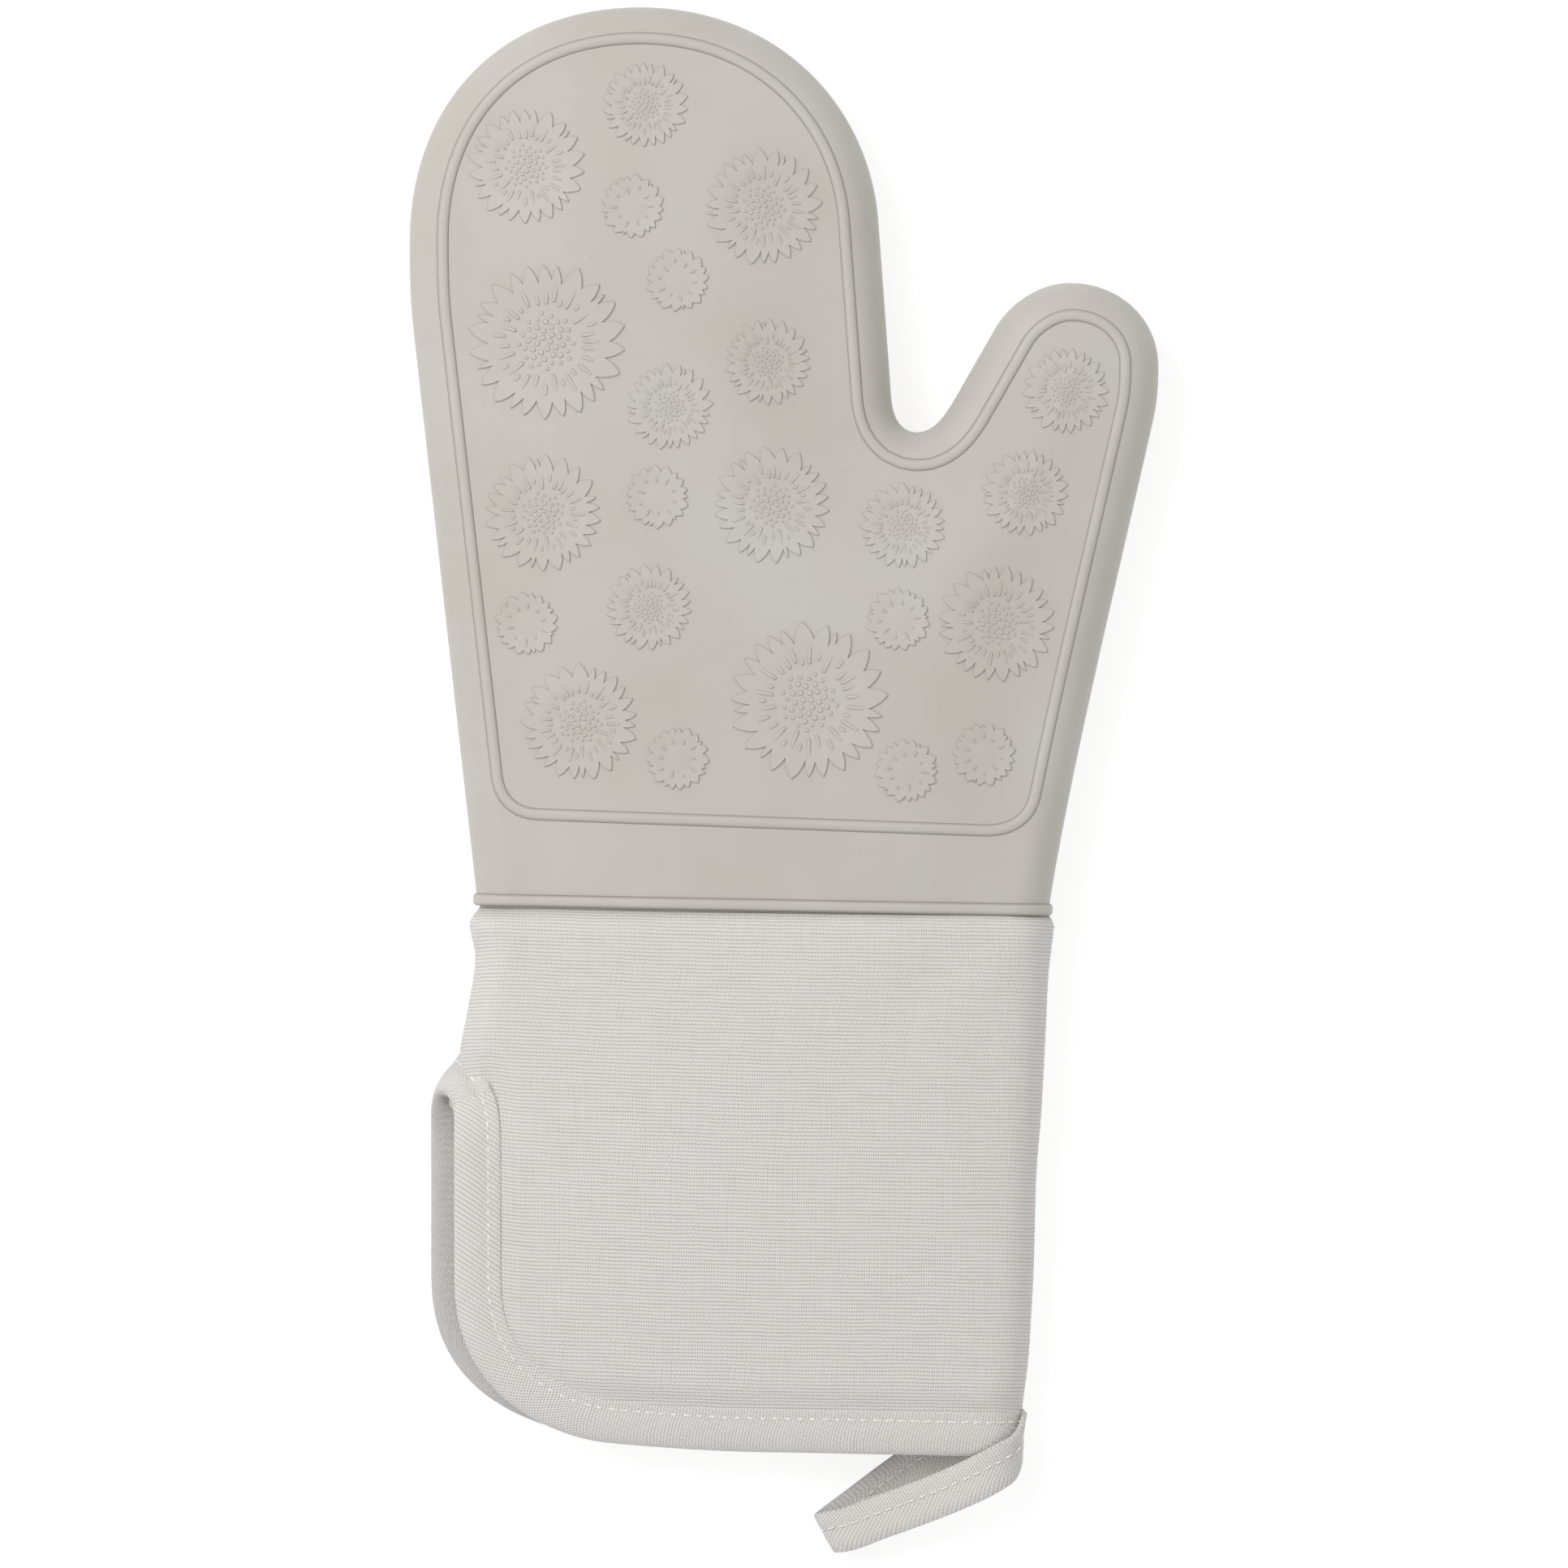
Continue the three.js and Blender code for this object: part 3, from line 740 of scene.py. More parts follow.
def flap(side, depth):
    """place(s, t) for a layer of a flap."""
    edge = flap_edge[side]
    inner_line = edge - (SHORT - 0.25) * beside(edge)
    lower_edge = inner_line[inner_line[:, 1] < -123.5]
    held_edge = np.vstack([(SLIT_X[side] - 1, SLIT_TOP_Y - 3), edge])
    sign = 1 if side == "palm" else -1

    def place(s, t):
        t = t**1.25
        # columns are closer together at both ends, where the cloth turns
        turn = 0.13
        left_turn, right_turn = np.clip(1 - s / turn, 0, 1), np.clip((s - 1) / turn + 1, 0, 1)
        flat = np.clip((s - turn) / (1 - 2 * turn), 0, 1)
        across = max(CUFF_EDGE - depth, 2.5)
        y = np.full(len(s), -90.0)
        for _ in range(8):
            pull = soften(y, SLIT_TOP_Y - 12, SLIT_TOP_Y + 1)
            left = (through(y, LEFT) + depth) * pull + (SLIT_X[side] + SHORT) * (1 - pull)
            right = through(y, RIGHT) - depth
            x = left + across + flat * (right - left - 2 * across)
            x = x - across * np.sin(left_turn * math.pi / 2) + across * np.sin(right_turn * math.pi / 2)
            foot = np.interp(x, lower_edge[:, 0], lower_edge[:, 1])
            start = bead_foot + 0.35 + x * math.tan(BEAD_TILT)
            y = start + t * (foot - start)
        outer, middle = flap_height(side, y)
        left_fall = (1 - np.cos(left_turn * math.pi / 2)) * (1 - opened(y))
        fall = np.maximum(left_fall, 1 - np.cos(right_turn * math.pi / 2))
        bound = 1 - soften(edge_distance(np.column_stack([x, y]), held_edge), 9.8, 15)
        edge_gap = np.minimum(x - left, right - x)
        puff = (0.8 + 1.7 * soften(y, -120, -40)) * soften(edge_gap, 2, 44) * (side == "palm")
        puff += 0.7 * (side == "palm") * soften(edge_gap, 2, 12)
        layer = (HALF_PAD - depth) * (1 - PINCH * bound)
        # the flap lies a little deeper under the fan of tape over the slit and at the thumb-side corner
        tucked = bound * (1.5 * np.exp(-(((y - SLIT_TOP_Y + 5.5) / 7) ** 2)) + 0.7 * soften(x, 42, 54))
        rise = (outer - middle) * sign - HALF_PAD + layer + puff * (1 - bound) - tucked
        return np.column_stack([x, y, middle + sign * rise * (1 - fall)])

    return place


COLUMNS, ROWS = 56, 48
CLOTH_THICK = 0.6
LINING_DEPTH = 4.3
PAD_DEPTHS = 0.7, 3.9  # just inside the cover, and just outside the lining
SWELL_LIMIT = 2.2

# %% [markdown]
# ## Padding the flaps with a cloth simulation
#
# Wadding makes the cloth swell between the lines where it is held: at the bead, the side seams and
# the bound edge. To find that shape, cover and lining are joined into a closed pad, the held edges
# are pinned, and Cloth blows it up with a little pressure. How far each corner moved is capped and
# handed on to the layers, which share the pad's grid.


# %% Blowing up a pad
def pad_of(side, name):
    outer, inner = (sheet("face", COLUMNS, ROWS, flap(side, depth)) for depth in PAD_DEPTHS)
    count = len(outer.data.vertices)
    pad = join(name, outer, inner)
    edit_open_edges(pad)
    bpy.ops.mesh.bridge_edge_loops()
    bpy.ops.mesh.select_all(action="SELECT")
    bpy.ops.mesh.normals_make_consistent(inside=False)
    done()
    return pad, count


def swelling(side):
    """How far each corner of the outer and the inner face moves when the pad is blown up."""
    pad, count = pad_of(side, "swollen_" + side)
    rest = corners(pad)
    places = np.vstack([corners_of_grid()] * 2)
    held = (
        1 - soften(places[:, 0], 0.08, 0.2) + soften(places[:, 0], 0.9, 0.98)
        + 1 - soften(places[:, 1], 0.01, 0.1) + soften(places[:, 1], 0.84, 0.93)
    ).clip(0, 1)
    group = pad.vertex_groups.new(name="held")
    for index, weight in enumerate(held):
        group.add([index], float(weight), "REPLACE")
    only(pad)
    bpy.ops.object.modifier_add(type="CLOTH")
    cloth = pad.modifiers[-1]
    stiffness = dict(tension_stiffness=12, compression_stiffness=12, shear_stiffness=8, bending_stiffness=2.5)
    pressure = dict(use_pressure=True, uniform_pressure_force=3.0)
    for name, value in dict(quality=5, mass=0.2, vertex_group_mass="held", **stiffness, **pressure).items():
        setattr(cloth.settings, name, value)
    cloth.settings.effector_weights.gravity = 0
    for number in range(1, 21):
        bpy.context.scene.frame_set(number)
    bpy.ops.object.modifier_apply(modifier=cloth.name)
    bpy.context.scene.frame_set(1)
    moved = corners(pad) - rest
    far = np.linalg.norm(moved, axis=1, keepdims=True)
    moved *= np.minimum(1, SWELL_LIMIT / np.maximum(far, 1e-6))
    remove(pad)
    print(f"{side} flap swelled by up to {far.max():.1f} mm, capped at {SWELL_LIMIT} mm")
    return moved[:count], moved[count:]


def corners_of_grid():
    probe = sheet("probe", COLUMNS, ROWS, lambda s, t: np.column_stack([s, t, 0 * s]))
    places = corners(probe)[:, :2]
    remove(probe)
    return places


swell = {side: swelling(side) for side in ("palm", "back")}


# %% Cover, wadding and lining of each flap
def layer(name, side, depth, moved, outside):
    cloth = sheet(name, COLUMNS, ROWS, flap(side, depth))
    places = corners(cloth) + moved
    places[:, 2] = np.maximum(places[:, 2], 0.5)
    move_corners(cloth, places)
    # the cloth must face away from its wadding before it gets its thickness
    up = 1 if (side == "palm") == outside else -1
    if cloth.data.polygons[len(cloth.data.polygons) // 2].normal.z * up < 0:
        edit(cloth, everything=True)
        bpy.ops.mesh.flip_normals()
        done()
    modify(cloth, "SUBSURF", levels=1, render_levels=1)
    modify(cloth, "SOLIDIFY", thickness=CLOTH_THICK * MM, offset=-1)
    smooth(cloth, 50)
    return cloth


covers, linings, waddings = {}, {}, {}
for side in ("palm", "back"):
    covers[side] = layer(f"cuff_{side}_cover_cloth", side, 0, swell[side][0], outside=True)
    linings[side] = layer(f"cuff_{side}_lining_cloth", side, LINING_DEPTH, swell[side][1], outside=False)
    waddings[side], count = pad_of(side, f"cuff_{side}_wadding")
    places = corners(waddings[side]) + np.vstack(swell[side])
    places[:, 2] = np.maximum(places[:, 2], 1.2)
    move_corners(waddings[side], places)
    tidy_up(waddings[side], angle=60)
print("flaps of", len(covers["palm"].data.polygons), "faces a cover")

# %% [markdown]
# ## Binding tape
#
# The edges are bound with tape cut on the bias, 45 degrees across the weave, so that it bends round
# the corners. It is folded over the edge, and both its sides are turned under. One closed path runs
# down the palm flap's slit, round the corner, along the mouth, over the thumb-side seam, back along
# the other flap and up its slit, and over the top of the slit in a hairpin. A U-shaped section is
# carried along it, pointing inwards.


# %% The bound edge's path and the tape's section
TAPE = 11.2  # width of the bound edge


def edge_path():
    """Points along the middle of the bound edge, and the way from there into the cuff."""
    points, inward = [], []

    def add(x, y, z, direction):
        points.append((x, y, z))
        inward.append(direction)

    def pad_middle(side, y):
        face, middle = flap_height(side, y)
        return middle, (abs(face - middle) - HALF_PAD) * opened(y) * (1 if side == "palm" else -1)

    corner_x = through(MOUTH_Y, RIGHT) - CUFF_EDGE
    runs = {}
    for side in ("palm", "back"):
        edge = flap_edge[side]
        runs[side] = []
        for (x, y), into in zip(edge, -beside(edge)):
            if x < corner_x:
                middle, rise = pad_middle(side, y)
                lift = rise / opened(y) - rise  # from the edge up to the flap's face
                runs[side].append(((x, y, middle + rise), (*into, lift / TAPE)))
    for point, direction in runs["palm"]:
        add(*point, direction)
    middle, rise = pad_middle("palm", MOUTH_Y)
    for turn in np.linspace(0, math.pi, 15)[1:-1]:
        x = corner_x + (CUFF_EDGE - HALF_PAD + 0.9) * math.sin(turn)
        add(x, MOUTH_Y - 1.1, middle + rise * math.cos(turn), (0, 1, 0))
    for point, direction in runs["back"][::-1]:
        add(*point, direction)
    # over the top of the slit the tape fans out, and its inner edge lies on the cuff's rounded side
    middle, rise = pad_middle("palm", -80)
    face = rise / opened(-80)
    for turn in np.linspace(0, math.pi, 13)[1:-1]:
        on_palm, side, top = (1 - math.cos(turn)) / 2, -math.cos(turn), math.sin(turn)
        x = SLIT_X["back"] + (SLIT_X["palm"] - SLIT_X["back"]) * on_palm
        place = np.array([x, -80 + 3.6 * top, middle + rise * side])
        inner_edge = (-78 + (1 - top) * (1 + 5 * on_palm), -75 + 5.7 * top, middle + face * side)
        add(*place, unit(inner_edge - place))
    return np.array(points), np.array(inward, float)


def evened(path, *others, spacing=1.5, rounds=5):
    """Respaces a closed path with what goes with it, and smooths it."""
    rows = np.hstack([path, *others])
    rows = respaced(np.vstack([rows, rows[:1]]), spacing)[:-1]
    for _ in range(rounds):
        rows = (np.roll(rows, 1, axis=0) + 2 * rows + np.roll(rows, -1, axis=0)) / 4
    return np.split(rows, rows.shape[1] // 3, axis=1)


fold, inward = evened(*edge_path())
ahead = headings(fold, closed=True)
inward = square_to(ahead, inward)
outward = np.cross(ahead, inward)

HALF_BOUND = 2.25  # half the thickness of the bound edge
tape_half = [(TAPE - 0.4, 0.9), (TAPE + 0.1, 0.5), (TAPE, -0.15), (TAPE - 1.4, -0.2), (TAPE - 2.9, 0.15),
             (TAPE - 4.4, -0.1), (6, -0.3), (3.6, -0.15), (1.6, 0.35), (0.4, 1.2)]
tape_half = [(a, b - HALF_BOUND) for a, b in tape_half]
tape_line = [*tape_half, (0, 0), *((a, -b) for a, b in tape_half[::-1])]
binding = sweep("binding_tape", fold, inward, outward, tape_line, closed=(True, False))
modify(binding, "SOLIDIFY", thickness=0.7 * MM, offset=0)
modify(binding, "SUBSURF", levels=1, render_levels=1)
smooth(binding, 60)
print("binding of", len(binding.data.polygons), "faces")

# %% [markdown]
# ## Stitches
#
# Each stitch is a short stretch of thread that dips into the cloth at both ends. One is modelled, and
# copies of it are set along the seams, 3.1 mm apart.

# %% One stitch, and rows of it
STITCH = 3.1


def stitch_row(name, path, out, length=2.55, thick=0.5):
    bpy.ops.mesh.primitive_uv_sphere_add(segments=8, ring_count=6, radius=MM)
    stitch = bpy.context.object
    shape = corners(stitch) * (length / 2, thick / 2, thick / 2)
    shape[:, 2] -= 0.35 * (2 * shape[:, 0] / length) ** 4  # both ends dip into the cloth
    ahead = headings(path)
    along = travelled(path)
    pieces = []
    for number in range(int(along[-1] / STITCH)):
        at = (number + 0.5) * STITCH
        place, forward, rise = (
            np.array([np.interp(at, along, column) for column in rows.T]) for rows in (path, ahead, out)
        )
        forward = unit(forward)
        rise = square_to(forward, rise)
        across = np.cross(rise, forward)
        wobble = 0.06 * math.sin(2.3 * number)
        twin = copy_of(stitch)
        move_corners(twin, place + shape @ np.array([forward + wobble * across, across, rise]))
        pieces.append(twin)
    row = join(name, *pieces)
    remove(stitch)
    only(row)
    bpy.ops.object.shade_smooth()
    return row


STITCH_IN = 8.3
stitch_line, stitch_rise = fold + inward * STITCH_IN, outward * (HALF_BOUND + 0.3)
binding_stitches = join(
    "binding_stitches",
    stitch_row("outer_row", stitch_line + stitch_rise, outward),
    stitch_row("inner_row", stitch_line - stitch_rise, -outward),
)
print("stitch rows of", len(binding_stitches.data.polygons), "faces")

# %% [markdown]
# ## Hanging loop
#
# The loop is the same tape. Its front leg comes out of the thumb-side corner, turns over it and runs
# down to the left; at its tip the tape is doubled over, and the back leg runs up again and into the
# mouth, behind the palm flap. The tape's width goes along with the path, so it can twist.

# %% Loop tape
LOOP = [  # middle of the tape, and the way across it
    ((54.5, -158.6, 10.4), (0, 1, 0)),
    ((57.4, -159.4, 11.2), (0, 1, 0)),
    ((58.2, -161.6, 13.8), (0.05, 0.95, 0.3)),
    ((57.2, -164.2, 16.6), (0.0, 0.9, 0.4)),
    ((54.4, -166.8, 18.9), (-0.15, 0.95, 0.2)),
    ((49.4, -169.8, 19.4), (-0.34, 0.94, 0.04)),
    ((41.8, -173.6, 17.0), (-0.4, 0.92, 0)),
    ((32.8, -177.5, 13.6), (-0.37, 0.93, 0)),
    ((22.8, -181.4, 10.6), (-0.37, 0.93, 0)),
    ((15.0, -184.4, 8.9), (-0.4, 0.92, 0)),
    ((11.6, -185.1, 7.4), (-0.45, 0.9, 0)),
    ((10.5, -185.5, 4.6), (-0.49, 0.87, 0)),
    ((12.2, -184.4, 2.0), (-0.54, 0.84, 0)),
    ((19.0, -179.4, 1.2), (-0.6, 0.8, 0)),
    ((27.0, -173.2, 3.0), (-0.6, 0.8, 0)),
    ((36.0, -166.6, 7.2), (-0.58, 0.81, 0)),
    ((43.0, -162.2, 9.4), (-0.45, 0.88, 0)),
    ((49.0, -159.6, 10.0), (-0.2, 0.98, 0)),
    ((53.5, -158.8, 10.0), (0, 1, 0)),
]


def smooth_path(points, spacing=1.2):
    points = np.array(points, float)
    length = travelled(points[:, :3])
    at = np.linspace(0, length[-1], round(length[-1] / spacing) + 1)
    return np.column_stack([through(at, list(zip(length, column))) for column in points.T])


tape = smooth_path([(*place, *across) for place, across in LOOP])
loop_path = tape[:, :3]
loop_ahead = headings(loop_path)
loop_across = square_to(loop_ahead, tape[:, 3:])
loop_up = np.cross(loop_across, loop_ahead)
WIDE, THICK = 10.9, 1.5
tape_end = [(0.93, 1), (0.985, 0.6), (1, 0), (0.985, -0.6), (0.93, -1)]
tape_face = [(-0.5, 1.15), (-0.05, 1.2), (0.23, 0.9), (0.5, 1.15)]  # with a groove at the stitches
tape_round = [(-a, b) for a, b in tape_end] + [(a, -b) for a, b in tape_face] + tape_end[::-1] + tape_face[::-1]
tape_round = [(WIDE / 2 * a, THICK / 2 * b) for a, b in tape_round]
loop_tape = sweep("loop_tape", loop_path, loop_across, loop_up, tape_round, closed=(False, True))
edit_open_edges(loop_tape)
bpy.ops.mesh.edge_face_add()
done()
tidy_up(loop_tape, angle=55)
free = slice(8, -6)  # the stretch outside the cuff
stitch_line, stitch_rise = loop_path + loop_across * 1.2, loop_up * 0.95
loop_stitches = join(
    "loop_stitches",
    stitch_row("outer_row", (stitch_line + stitch_rise)[free], loop_up[free]),
    stitch_row("inner_row", (stitch_line - stitch_rise)[free], -loop_up[free]),
)
print(f"loop tape {travelled(loop_path)[-1]:.0f} mm long")

# %% [markdown]
# ## Side seams
#
# Where the two flaps' covers meet, at both sides of the cuff, a fine row of stitches closes them.

# %% Seam cords
def side_seam(name, low_y, high_y, table, sign):
    y = np.arange(high_y, low_y, -1.5)
    middle = np.array([flap_height("palm", v)[1] for v in y])
    x = through(y, table) - sign * 0.05
    path = np.column_stack([x, y, middle])
    out = np.tile([sign, 0, 0], (len(y), 1)).astype(float)
    return stitch_row(name, path, out, length=1.6, thick=0.3)


thumb_seam = side_seam("thumb_side_seam", -152, -34, RIGHT, 1)
slit_seam = side_seam("slit_side_seam", -68, -34, LEFT, -1)

# %% [markdown]
# ## Colours and nodes
#
# Colours are written as sRGB hex values, as in a paint program. Blender's shaders work in linear
# light, so one function converts them. Another adds a node and fills its inputs, and short ones add
# the nodes that every finish needs.


# %% Helpers for materials
def linear(colour):
    parts = [int(colour[i : i + 2], 16) / 255 for i in (1, 3, 5)]
    return [p / 12.92 if p <= 0.04045 else ((p + 0.055) / 1.055) ** 2.4 for p in parts] + [1.0]


def fill(tree, made, inputs):
    """Fills a node's inputs, given by name or number: a socket is linked, and a value is set."""
    for key, value in inputs.items():
        if isinstance(value, bpy.types.NodeSocket):
            tree.links.new(value, made.inputs[key])
        else:
            made.inputs[key].default_value = value


def node(tree, kind, inputs=None, **settings):
    made = tree.nodes.new("ShaderNode" + kind)
    for name, value in settings.items():
        setattr(made, name, value)
    fill(tree, made, inputs or {})
    return made.outputs


def maths(tree, operation, *values):
    return node(tree, "Math", dict(enumerate(values)), operation=operation)[0]


def remap(tree, value, low, high, to_low=0.0, to_high=1.0, **settings):
    span = {"From Min": low, "From Max": high, "To Min": to_low, "To Max": to_high}
    return node(tree, "MapRange", {"Value": value, **span}, **settings)["Result"]


def noise(tree, place, scale, detail, roughness=0.5, distortion=0.0):
    how = {"Scale": scale, "Detail": detail, "Roughness": roughness, "Distortion": distortion}
    return node(tree, "TexNoise", {"Vector": place, **how})


def blend(tree, share, low, high):
    """A mix of two colours, or of two values."""
    if not isinstance(high, str):
        return node(tree, "Mix", {"Factor": share, 2: low, 3: high}, data_type="FLOAT")[0]
    low = linear(low) if isinstance(low, str) else low
    return node(tree, "Mix", {"Factor": share, "A": low, "B": linear(high)}, data_type="RGBA")[2]


def bumped(tree, height, strength, distance):
    return node(tree, "Bump", {"Height": height, "Strength": strength, "Distance": distance})["Normal"]


def finish_named(name):
    made = bpy.data.materials.new(name)
    made.use_nodes = True
    return made, made.node_tree, made.node_tree.nodes["Principled BSDF"]


def paint(material, *pieces):
    for piece in pieces:
        piece.data.materials.clear()
        piece.data.materials.append(material)


# %% [markdown]
# ## Moulded silicone
#
# Silicone rubber is matt when its steel mould was sand-blasted: broad soft highlights and a fine
# grain, drawn 0.4 mm wide so that it shows. It picks up specks of lint and a faint cloudiness from
# handling. The grain is a bump, the specks are sparse dots of a Voronoi texture, and the cloudiness
# is a slow noise in the colour. Shade is painted darker into the corners of the relief, at the feet
# of the bead, the ribs, the flowers and the seeds.

# %% Silicone
silicone, tree, bsdf = finish_named("moulded_silicone")
place = node(tree, "TexCoord")["Object"]
cloud = noise(tree, place, 28.0, 3.0, roughness=0.55)["Fac"]
body = blend(tree, remap(tree, cloud, 0.3, 0.7), "#B1ADA5", "#B7B3AD")
# specks up to 0.4 mm wide, about 20 mm apart
dots = node(tree, "TexVoronoi", {"Vector": place, "Scale": 260.0}, feature="F1")
near = maths(tree, "LESS_THAN", dots["Distance"], 0.055)
rare = maths(tree, "GREATER_THAN", node(tree, "SeparateColor", {0: dots["Color"]})["Red"], 0.72)
speck = maths(tree, "MULTIPLY", maths(tree, "MULTIPLY", near, rare), 0.35)
body = blend(tree, speck, body, "#6F6A64")
# painted shade: the corners of the relief, where shade falls, are painted darker
painted_crease_shade = maths(tree, "MULTIPLY", node(tree, "Attribute", attribute_name="crease")["Fac"], 0.8)
body = blend(tree, painted_crease_shade, body, "#77716A")
grain = noise(tree, place, 2500.0, 1.0)["Fac"]
wave = noise(tree, place, 120.0, 2.0)["Fac"]
fill(tree, bsdf, {
    "Base Color": body,
    "Normal": bumped(tree, maths(tree, "MULTIPLY_ADD", grain, 0.12, wave), 0.35, 0.0002),
    "Roughness": remap(tree, wave, 0.3, 0.7, 0.52, 0.62),
    "IOR": 1.41,  # silicone rubber
    "Sheen Weight": 0.08,  # its faintly powdery bloom
})
paint(silicone, shell, palm_flowers, back_flowers)
print("silicone has", len(tree.nodes), "nodes")

# %% [markdown]
# ## Woven cloth
#
# Cover, binding and lining are plain weave: threads cross over and under one another, one by one.
# The product of two sines changes sign from crossing to crossing, which tells which thread is on
# top. Each thread is a rounded ridge. Low places between threads are painted darker, as painted
# shade, rows are a little thick and thin along their length as spun yarn is, and the UV map is in
# metres, so the thread spacing is real. The binding's weave is turned by 45 degrees, because it is
# cut on the bias.


# %% A plain weave
def woven(name, light, dark, pitch, turn=0.0, rows=0.5, slub_by=0.2):
    """pitch is the spacing of the lengthwise and of the crosswise threads, in metres; rows is how much
    the crosswise ones stand out, from 0 to 1, and slub_by how uneven the yarn is."""
    made, tree, bsdf = finish_named(name)
    uv = node(tree, "TexCoord")["UV"]
    # yarn wanders a little from its line
    drift = noise(tree, uv, 90.0, 2.0)["Color"]
    drift = node(tree, "VectorMath", {0: drift, 1: (0.5, 0.5, 0.5)}, operation="SUBTRACT")[0]
    drift = node(tree, "VectorMath", {0: drift, 1: (0.0006, 0.0006, 0.0)}, operation="MULTIPLY")[0]
    laid = node(tree, "VectorMath", {0: uv, 1: drift}, operation="ADD")[0]
    grid = {"Vector": laid, "Rotation": (0, 0, turn), "Scale": (*pitch, 1)}
    threads = node(tree, "Mapping", grid, vector_type="TEXTURE")[0]
    across, along, _ = node(tree, "SeparateXYZ", {0: threads})
    warp, weft = (maths(tree, "SINE", maths(tree, "MULTIPLY", value, math.pi)) for value in (across, along))
    crossing = maths(tree, "MULTIPLY", warp, weft)
    over = remap(tree, crossing, -0.45, 0.45 * (1 - rows), interpolation_type="SMOOTHSTEP")
    warp_ridge, weft_ridge = maths(tree, "ABSOLUTE", warp), maths(tree, "ABSOLUTE", weft)
    height = blend(tree, over, warp_ridge, weft_ridge)
    # thick and thin places, long along the yarn and one yarn wide
    slubs = []
    for stretch in ((0.9, 0.045, 1), (0.045, 0.9, 1)):
        yarn = node(tree, "Mapping", {"Vector": threads, "Scale": stretch})[0]
        slubs.append(noise(tree, yarn, 1.0, 2.0, roughness=0.6)["Fac"])
    yarn = remap(tree, blend(tree, over, *slubs), 0.3, 0.7, -slub_by, slub_by)
    # painted shade: low places between threads are painted darker, and the holes where four threads meet darker
    # than the gaps beside a thread
    hole = maths(tree, "MAXIMUM", warp_ridge, weft_ridge)
    shade = maths(tree, "ADD", blend(tree, 0.6, height, hole), yarn)
    fill(tree, bsdf, {
        "Base Color": blend(tree, remap(tree, shade, 0.25, 0.8), dark, light),
        "Normal": bumped(tree, height, 0.8, 0.00022),
        "Roughness": 0.85,
        "IOR": 1.5,
        "Sheen Weight": 0.12,  # loose fibres
        "Sheen Roughness": 0.5,
    })
    return made


COTTON = (0.00056, 0.00092)
cover_cloth = woven("plain_weave_cotton_cover", "#D8D4D1", "#A8A29C", COTTON, rows=0.3, slub_by=0.12)
tape_cloth = woven("bias_cut_cotton_tape", "#D8D4D1", "#A19B95", COTTON, math.radians(45), rows=0.0, slub_by=0.1)
lining_cloth = woven("plain_weave_cotton_lining", "#D6D2CA", "#ACA69E", (0.0006, 0.0007), rows=0.2)
paint(cover_cloth, *covers.values())
paint(lining_cloth, *linings.values(), hand_lining)
paint(tape_cloth, binding, loop_tape)

# %% [markdown]
# ## Thread and wadding
#
# Sewing thread is two plies of polyester twisted together, a little glossier than the cloth: the
# twist is a wave across it. Needled wadding is a felt of fine fibres with no direction of its own.

# %% Thread
thread, tree, bsdf = finish_named("spun_polyester_thread")
place = node(tree, "TexCoord")["Object"]
ply = node(tree, "TexWave", {"Vector": place, "Scale": 420.0, "Distortion": 1.5}, bands_direction="DIAGONAL")
# painted shade: the grooves between the plies are painted darker than their crowns
fill(tree, bsdf, {
    "Base Color": blend(tree, ply["Fac"], "#D2CFCB", "#F0EEEB"),
    "Normal": bumped(tree, ply["Fac"], 0.5, 0.00008),
    "Roughness": 0.6,
    "Sheen Weight": 0.1,
})
paint(thread, binding_stitches, loop_stitches, thumb_seam, slit_seam)

# %% Wadding
wadding, tree, bsdf = finish_named("needled_polyester_wadding")
place = node(tree, "TexCoord")["Object"]
fibre = noise(tree, place, 900.0, 4.0, distortion=1.2)["Fac"]
fill(tree, bsdf, {
    "Base Color": blend(tree, fibre, "#CFCBC4", "#F2F0EC"),
    "Normal": bumped(tree, fibre, 0.6, 0.0004),
    "Roughness": 0.95,
})
paint(wadding, *waddings.values(), hand_wadding)
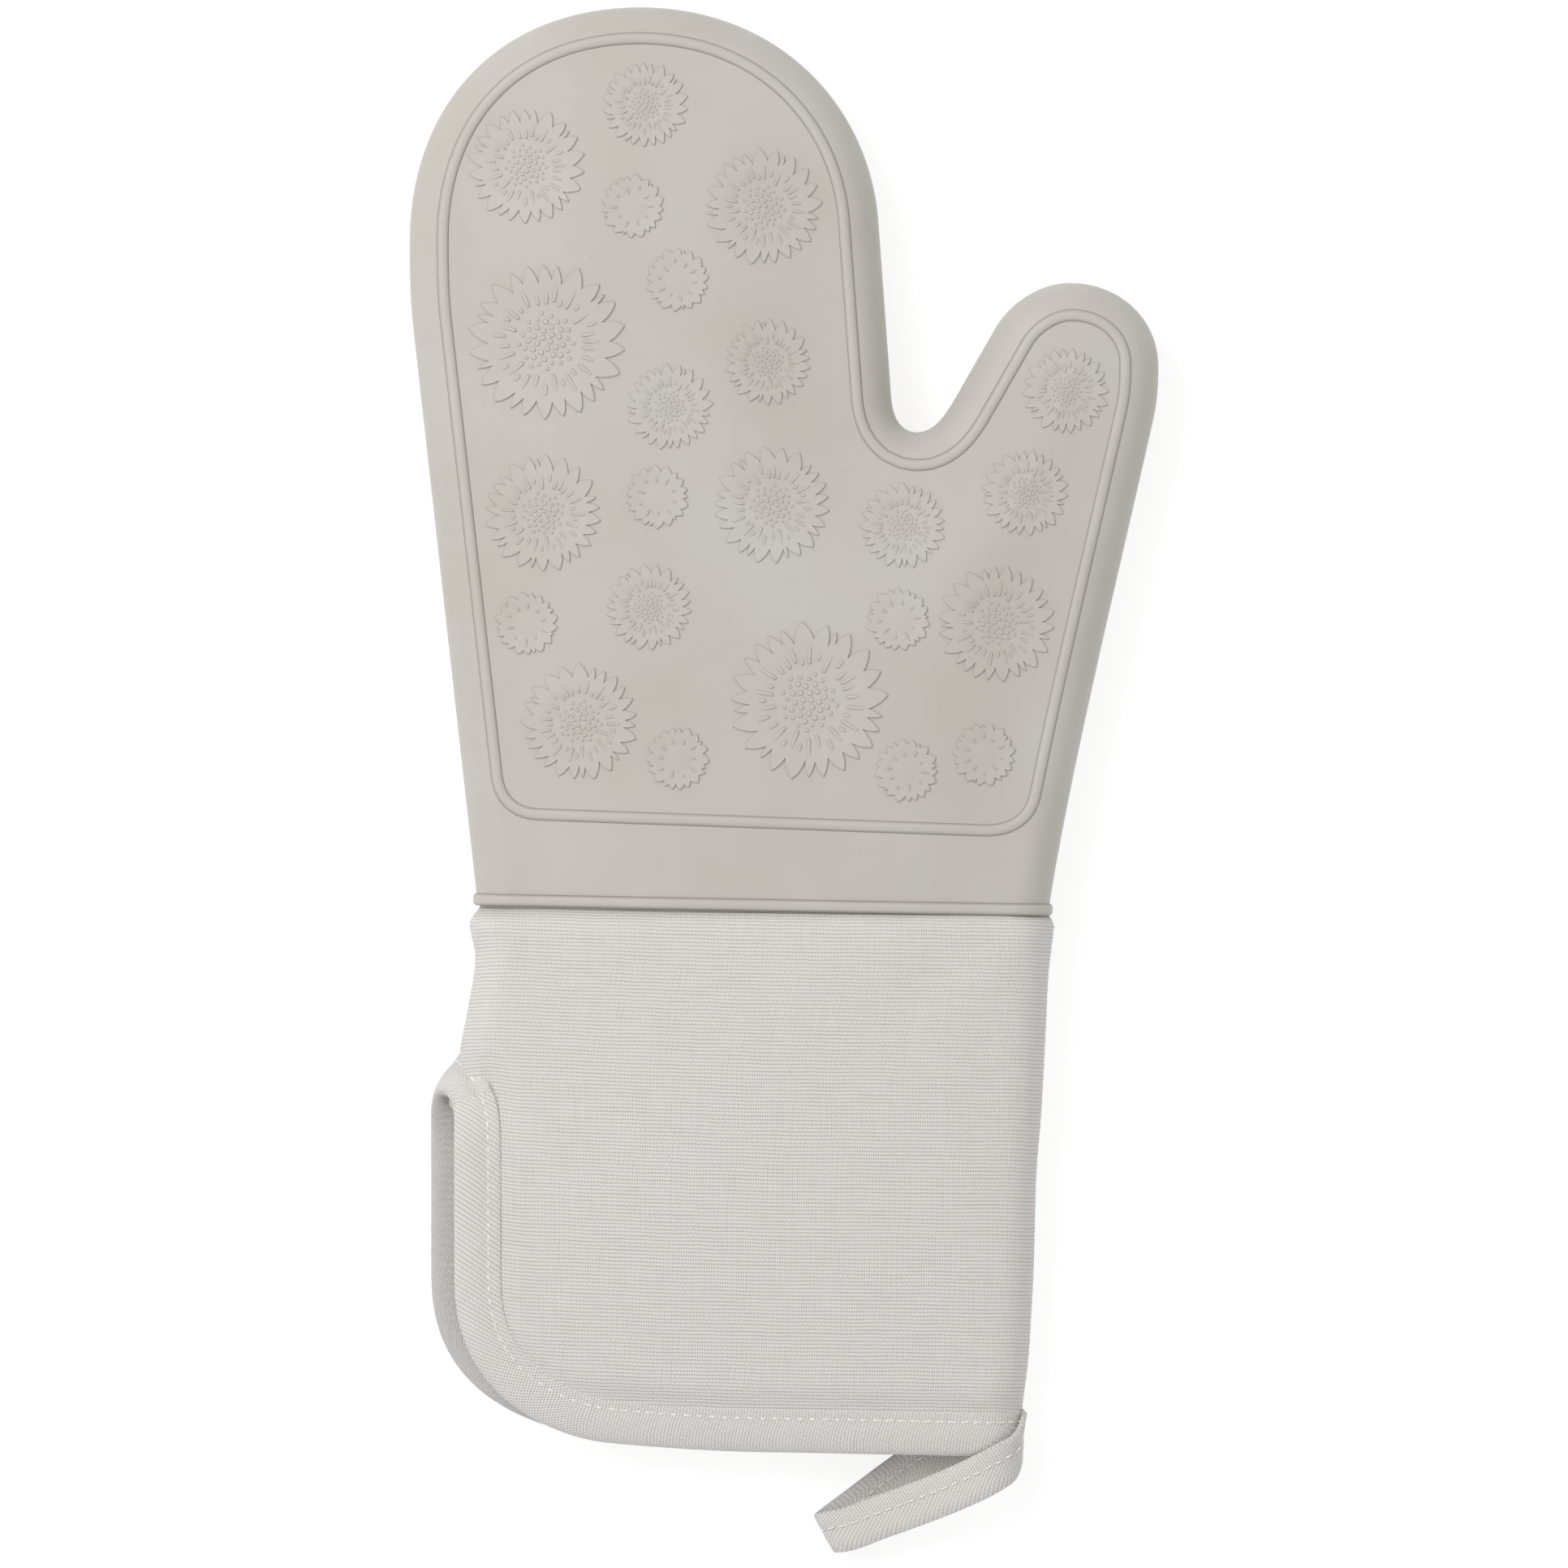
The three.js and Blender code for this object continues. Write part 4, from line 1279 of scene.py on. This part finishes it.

# %% [markdown]
# ## Giving every piece its place in the model
#
# Each new piece hides the plain solid it stands for. The shell, the flowers and the hand's wadding
# and lining ride on the hand, and the binding and its stitches on the cuff; the cuff's flaps, its
# seams and the loop keep their places baked into their corners.

for piece in (shell, palm_flowers, back_flowers):
    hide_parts("silicone_shell")
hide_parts("palm_batting", "back_batting")
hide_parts("palm_lining", "back_lining")
for side in ("palm", "back"):
    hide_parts(f"cuff_{side}_cover")
    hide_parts(f"cuff_{side}_batting")
    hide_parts(f"cuff_{side}_lining")
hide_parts("edge_binding")
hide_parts("binding_stitch_palm", "binding_stitch_back")
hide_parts("cuff_seam_thumb_side", "loop_bartack")
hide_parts("cuff_seam_slit_side")
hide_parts("hanging_loop")
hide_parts("loop_stitch")
for name in ("lining_seam_thread", "rim_thread"):
    paint(thread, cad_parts[name])

# %% What moves with what
for piece in (shell, palm_flowers, back_flowers, hand_wadding, hand_lining):
    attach(piece, "hand")
for piece in (binding, binding_stitches):
    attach(piece, "cuff")
for piece in (*covers.values(), *linings.values(), *waddings.values(), thumb_seam, slit_seam):
    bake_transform(piece)
for piece in (loop_tape, loop_stitches):
    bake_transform(piece)

# %% [markdown]
# ## Floor, light and camera
#
# The mitt lies on a white light table under a large soft light from the fingertips' side and a bright
# room, so that shadows are faint and the relief still reads. The camera looks straight down through
# a long lens.

# %% Floor and light
bpy.ops.mesh.primitive_plane_add(size=6)
floor = bpy.context.object
floor.name = "table"
white, tree, bsdf = finish_named("white_acrylic_light_table")
fill(tree, bsdf, {
    "Base Color": linear("#979797"),
    "Roughness": 0.9,
    "Emission Color": (1, 1, 1, 1),
    "Emission Strength": 0.75,  # so that shadows stay faint
})
paint(white, floor)

world = bpy.data.worlds.new("bright_room")
bpy.context.scene.world = world
world.use_nodes = True
tree = world.node_tree
# the room is brighter overhead than at its walls
overhead = node(tree, "SeparateXYZ", {0: node(tree, "TexCoord")["Generated"]})["Z"]
glow = remap(tree, overhead, 0, 1, 0.58, 0.85)
fill(tree, tree.nodes["Background"], {"Color": (1, 1, 1, 1), "Strength": glow})

# a square soft light that faces the mitt
bpy.ops.object.light_add(type="AREA", location=(-0.8, 0.6, 1.35))
light = bpy.context.object
light.data.size = 0.9
light.data.energy = 15
light.rotation_euler = light.location.to_track_quat("Z", "Y").to_euler()

# %% Camera
bpy.ops.object.camera_add(location=(0, -0.0002, 1.9455), rotation=(0, 0, 0))
camera = bpy.context.object
camera.data.sensor_width = 36
camera.data.lens = 180
camera.data.clip_end = 20
bpy.context.scene.camera = camera
bpy.context.scene.view_settings.view_transform = "Standard"
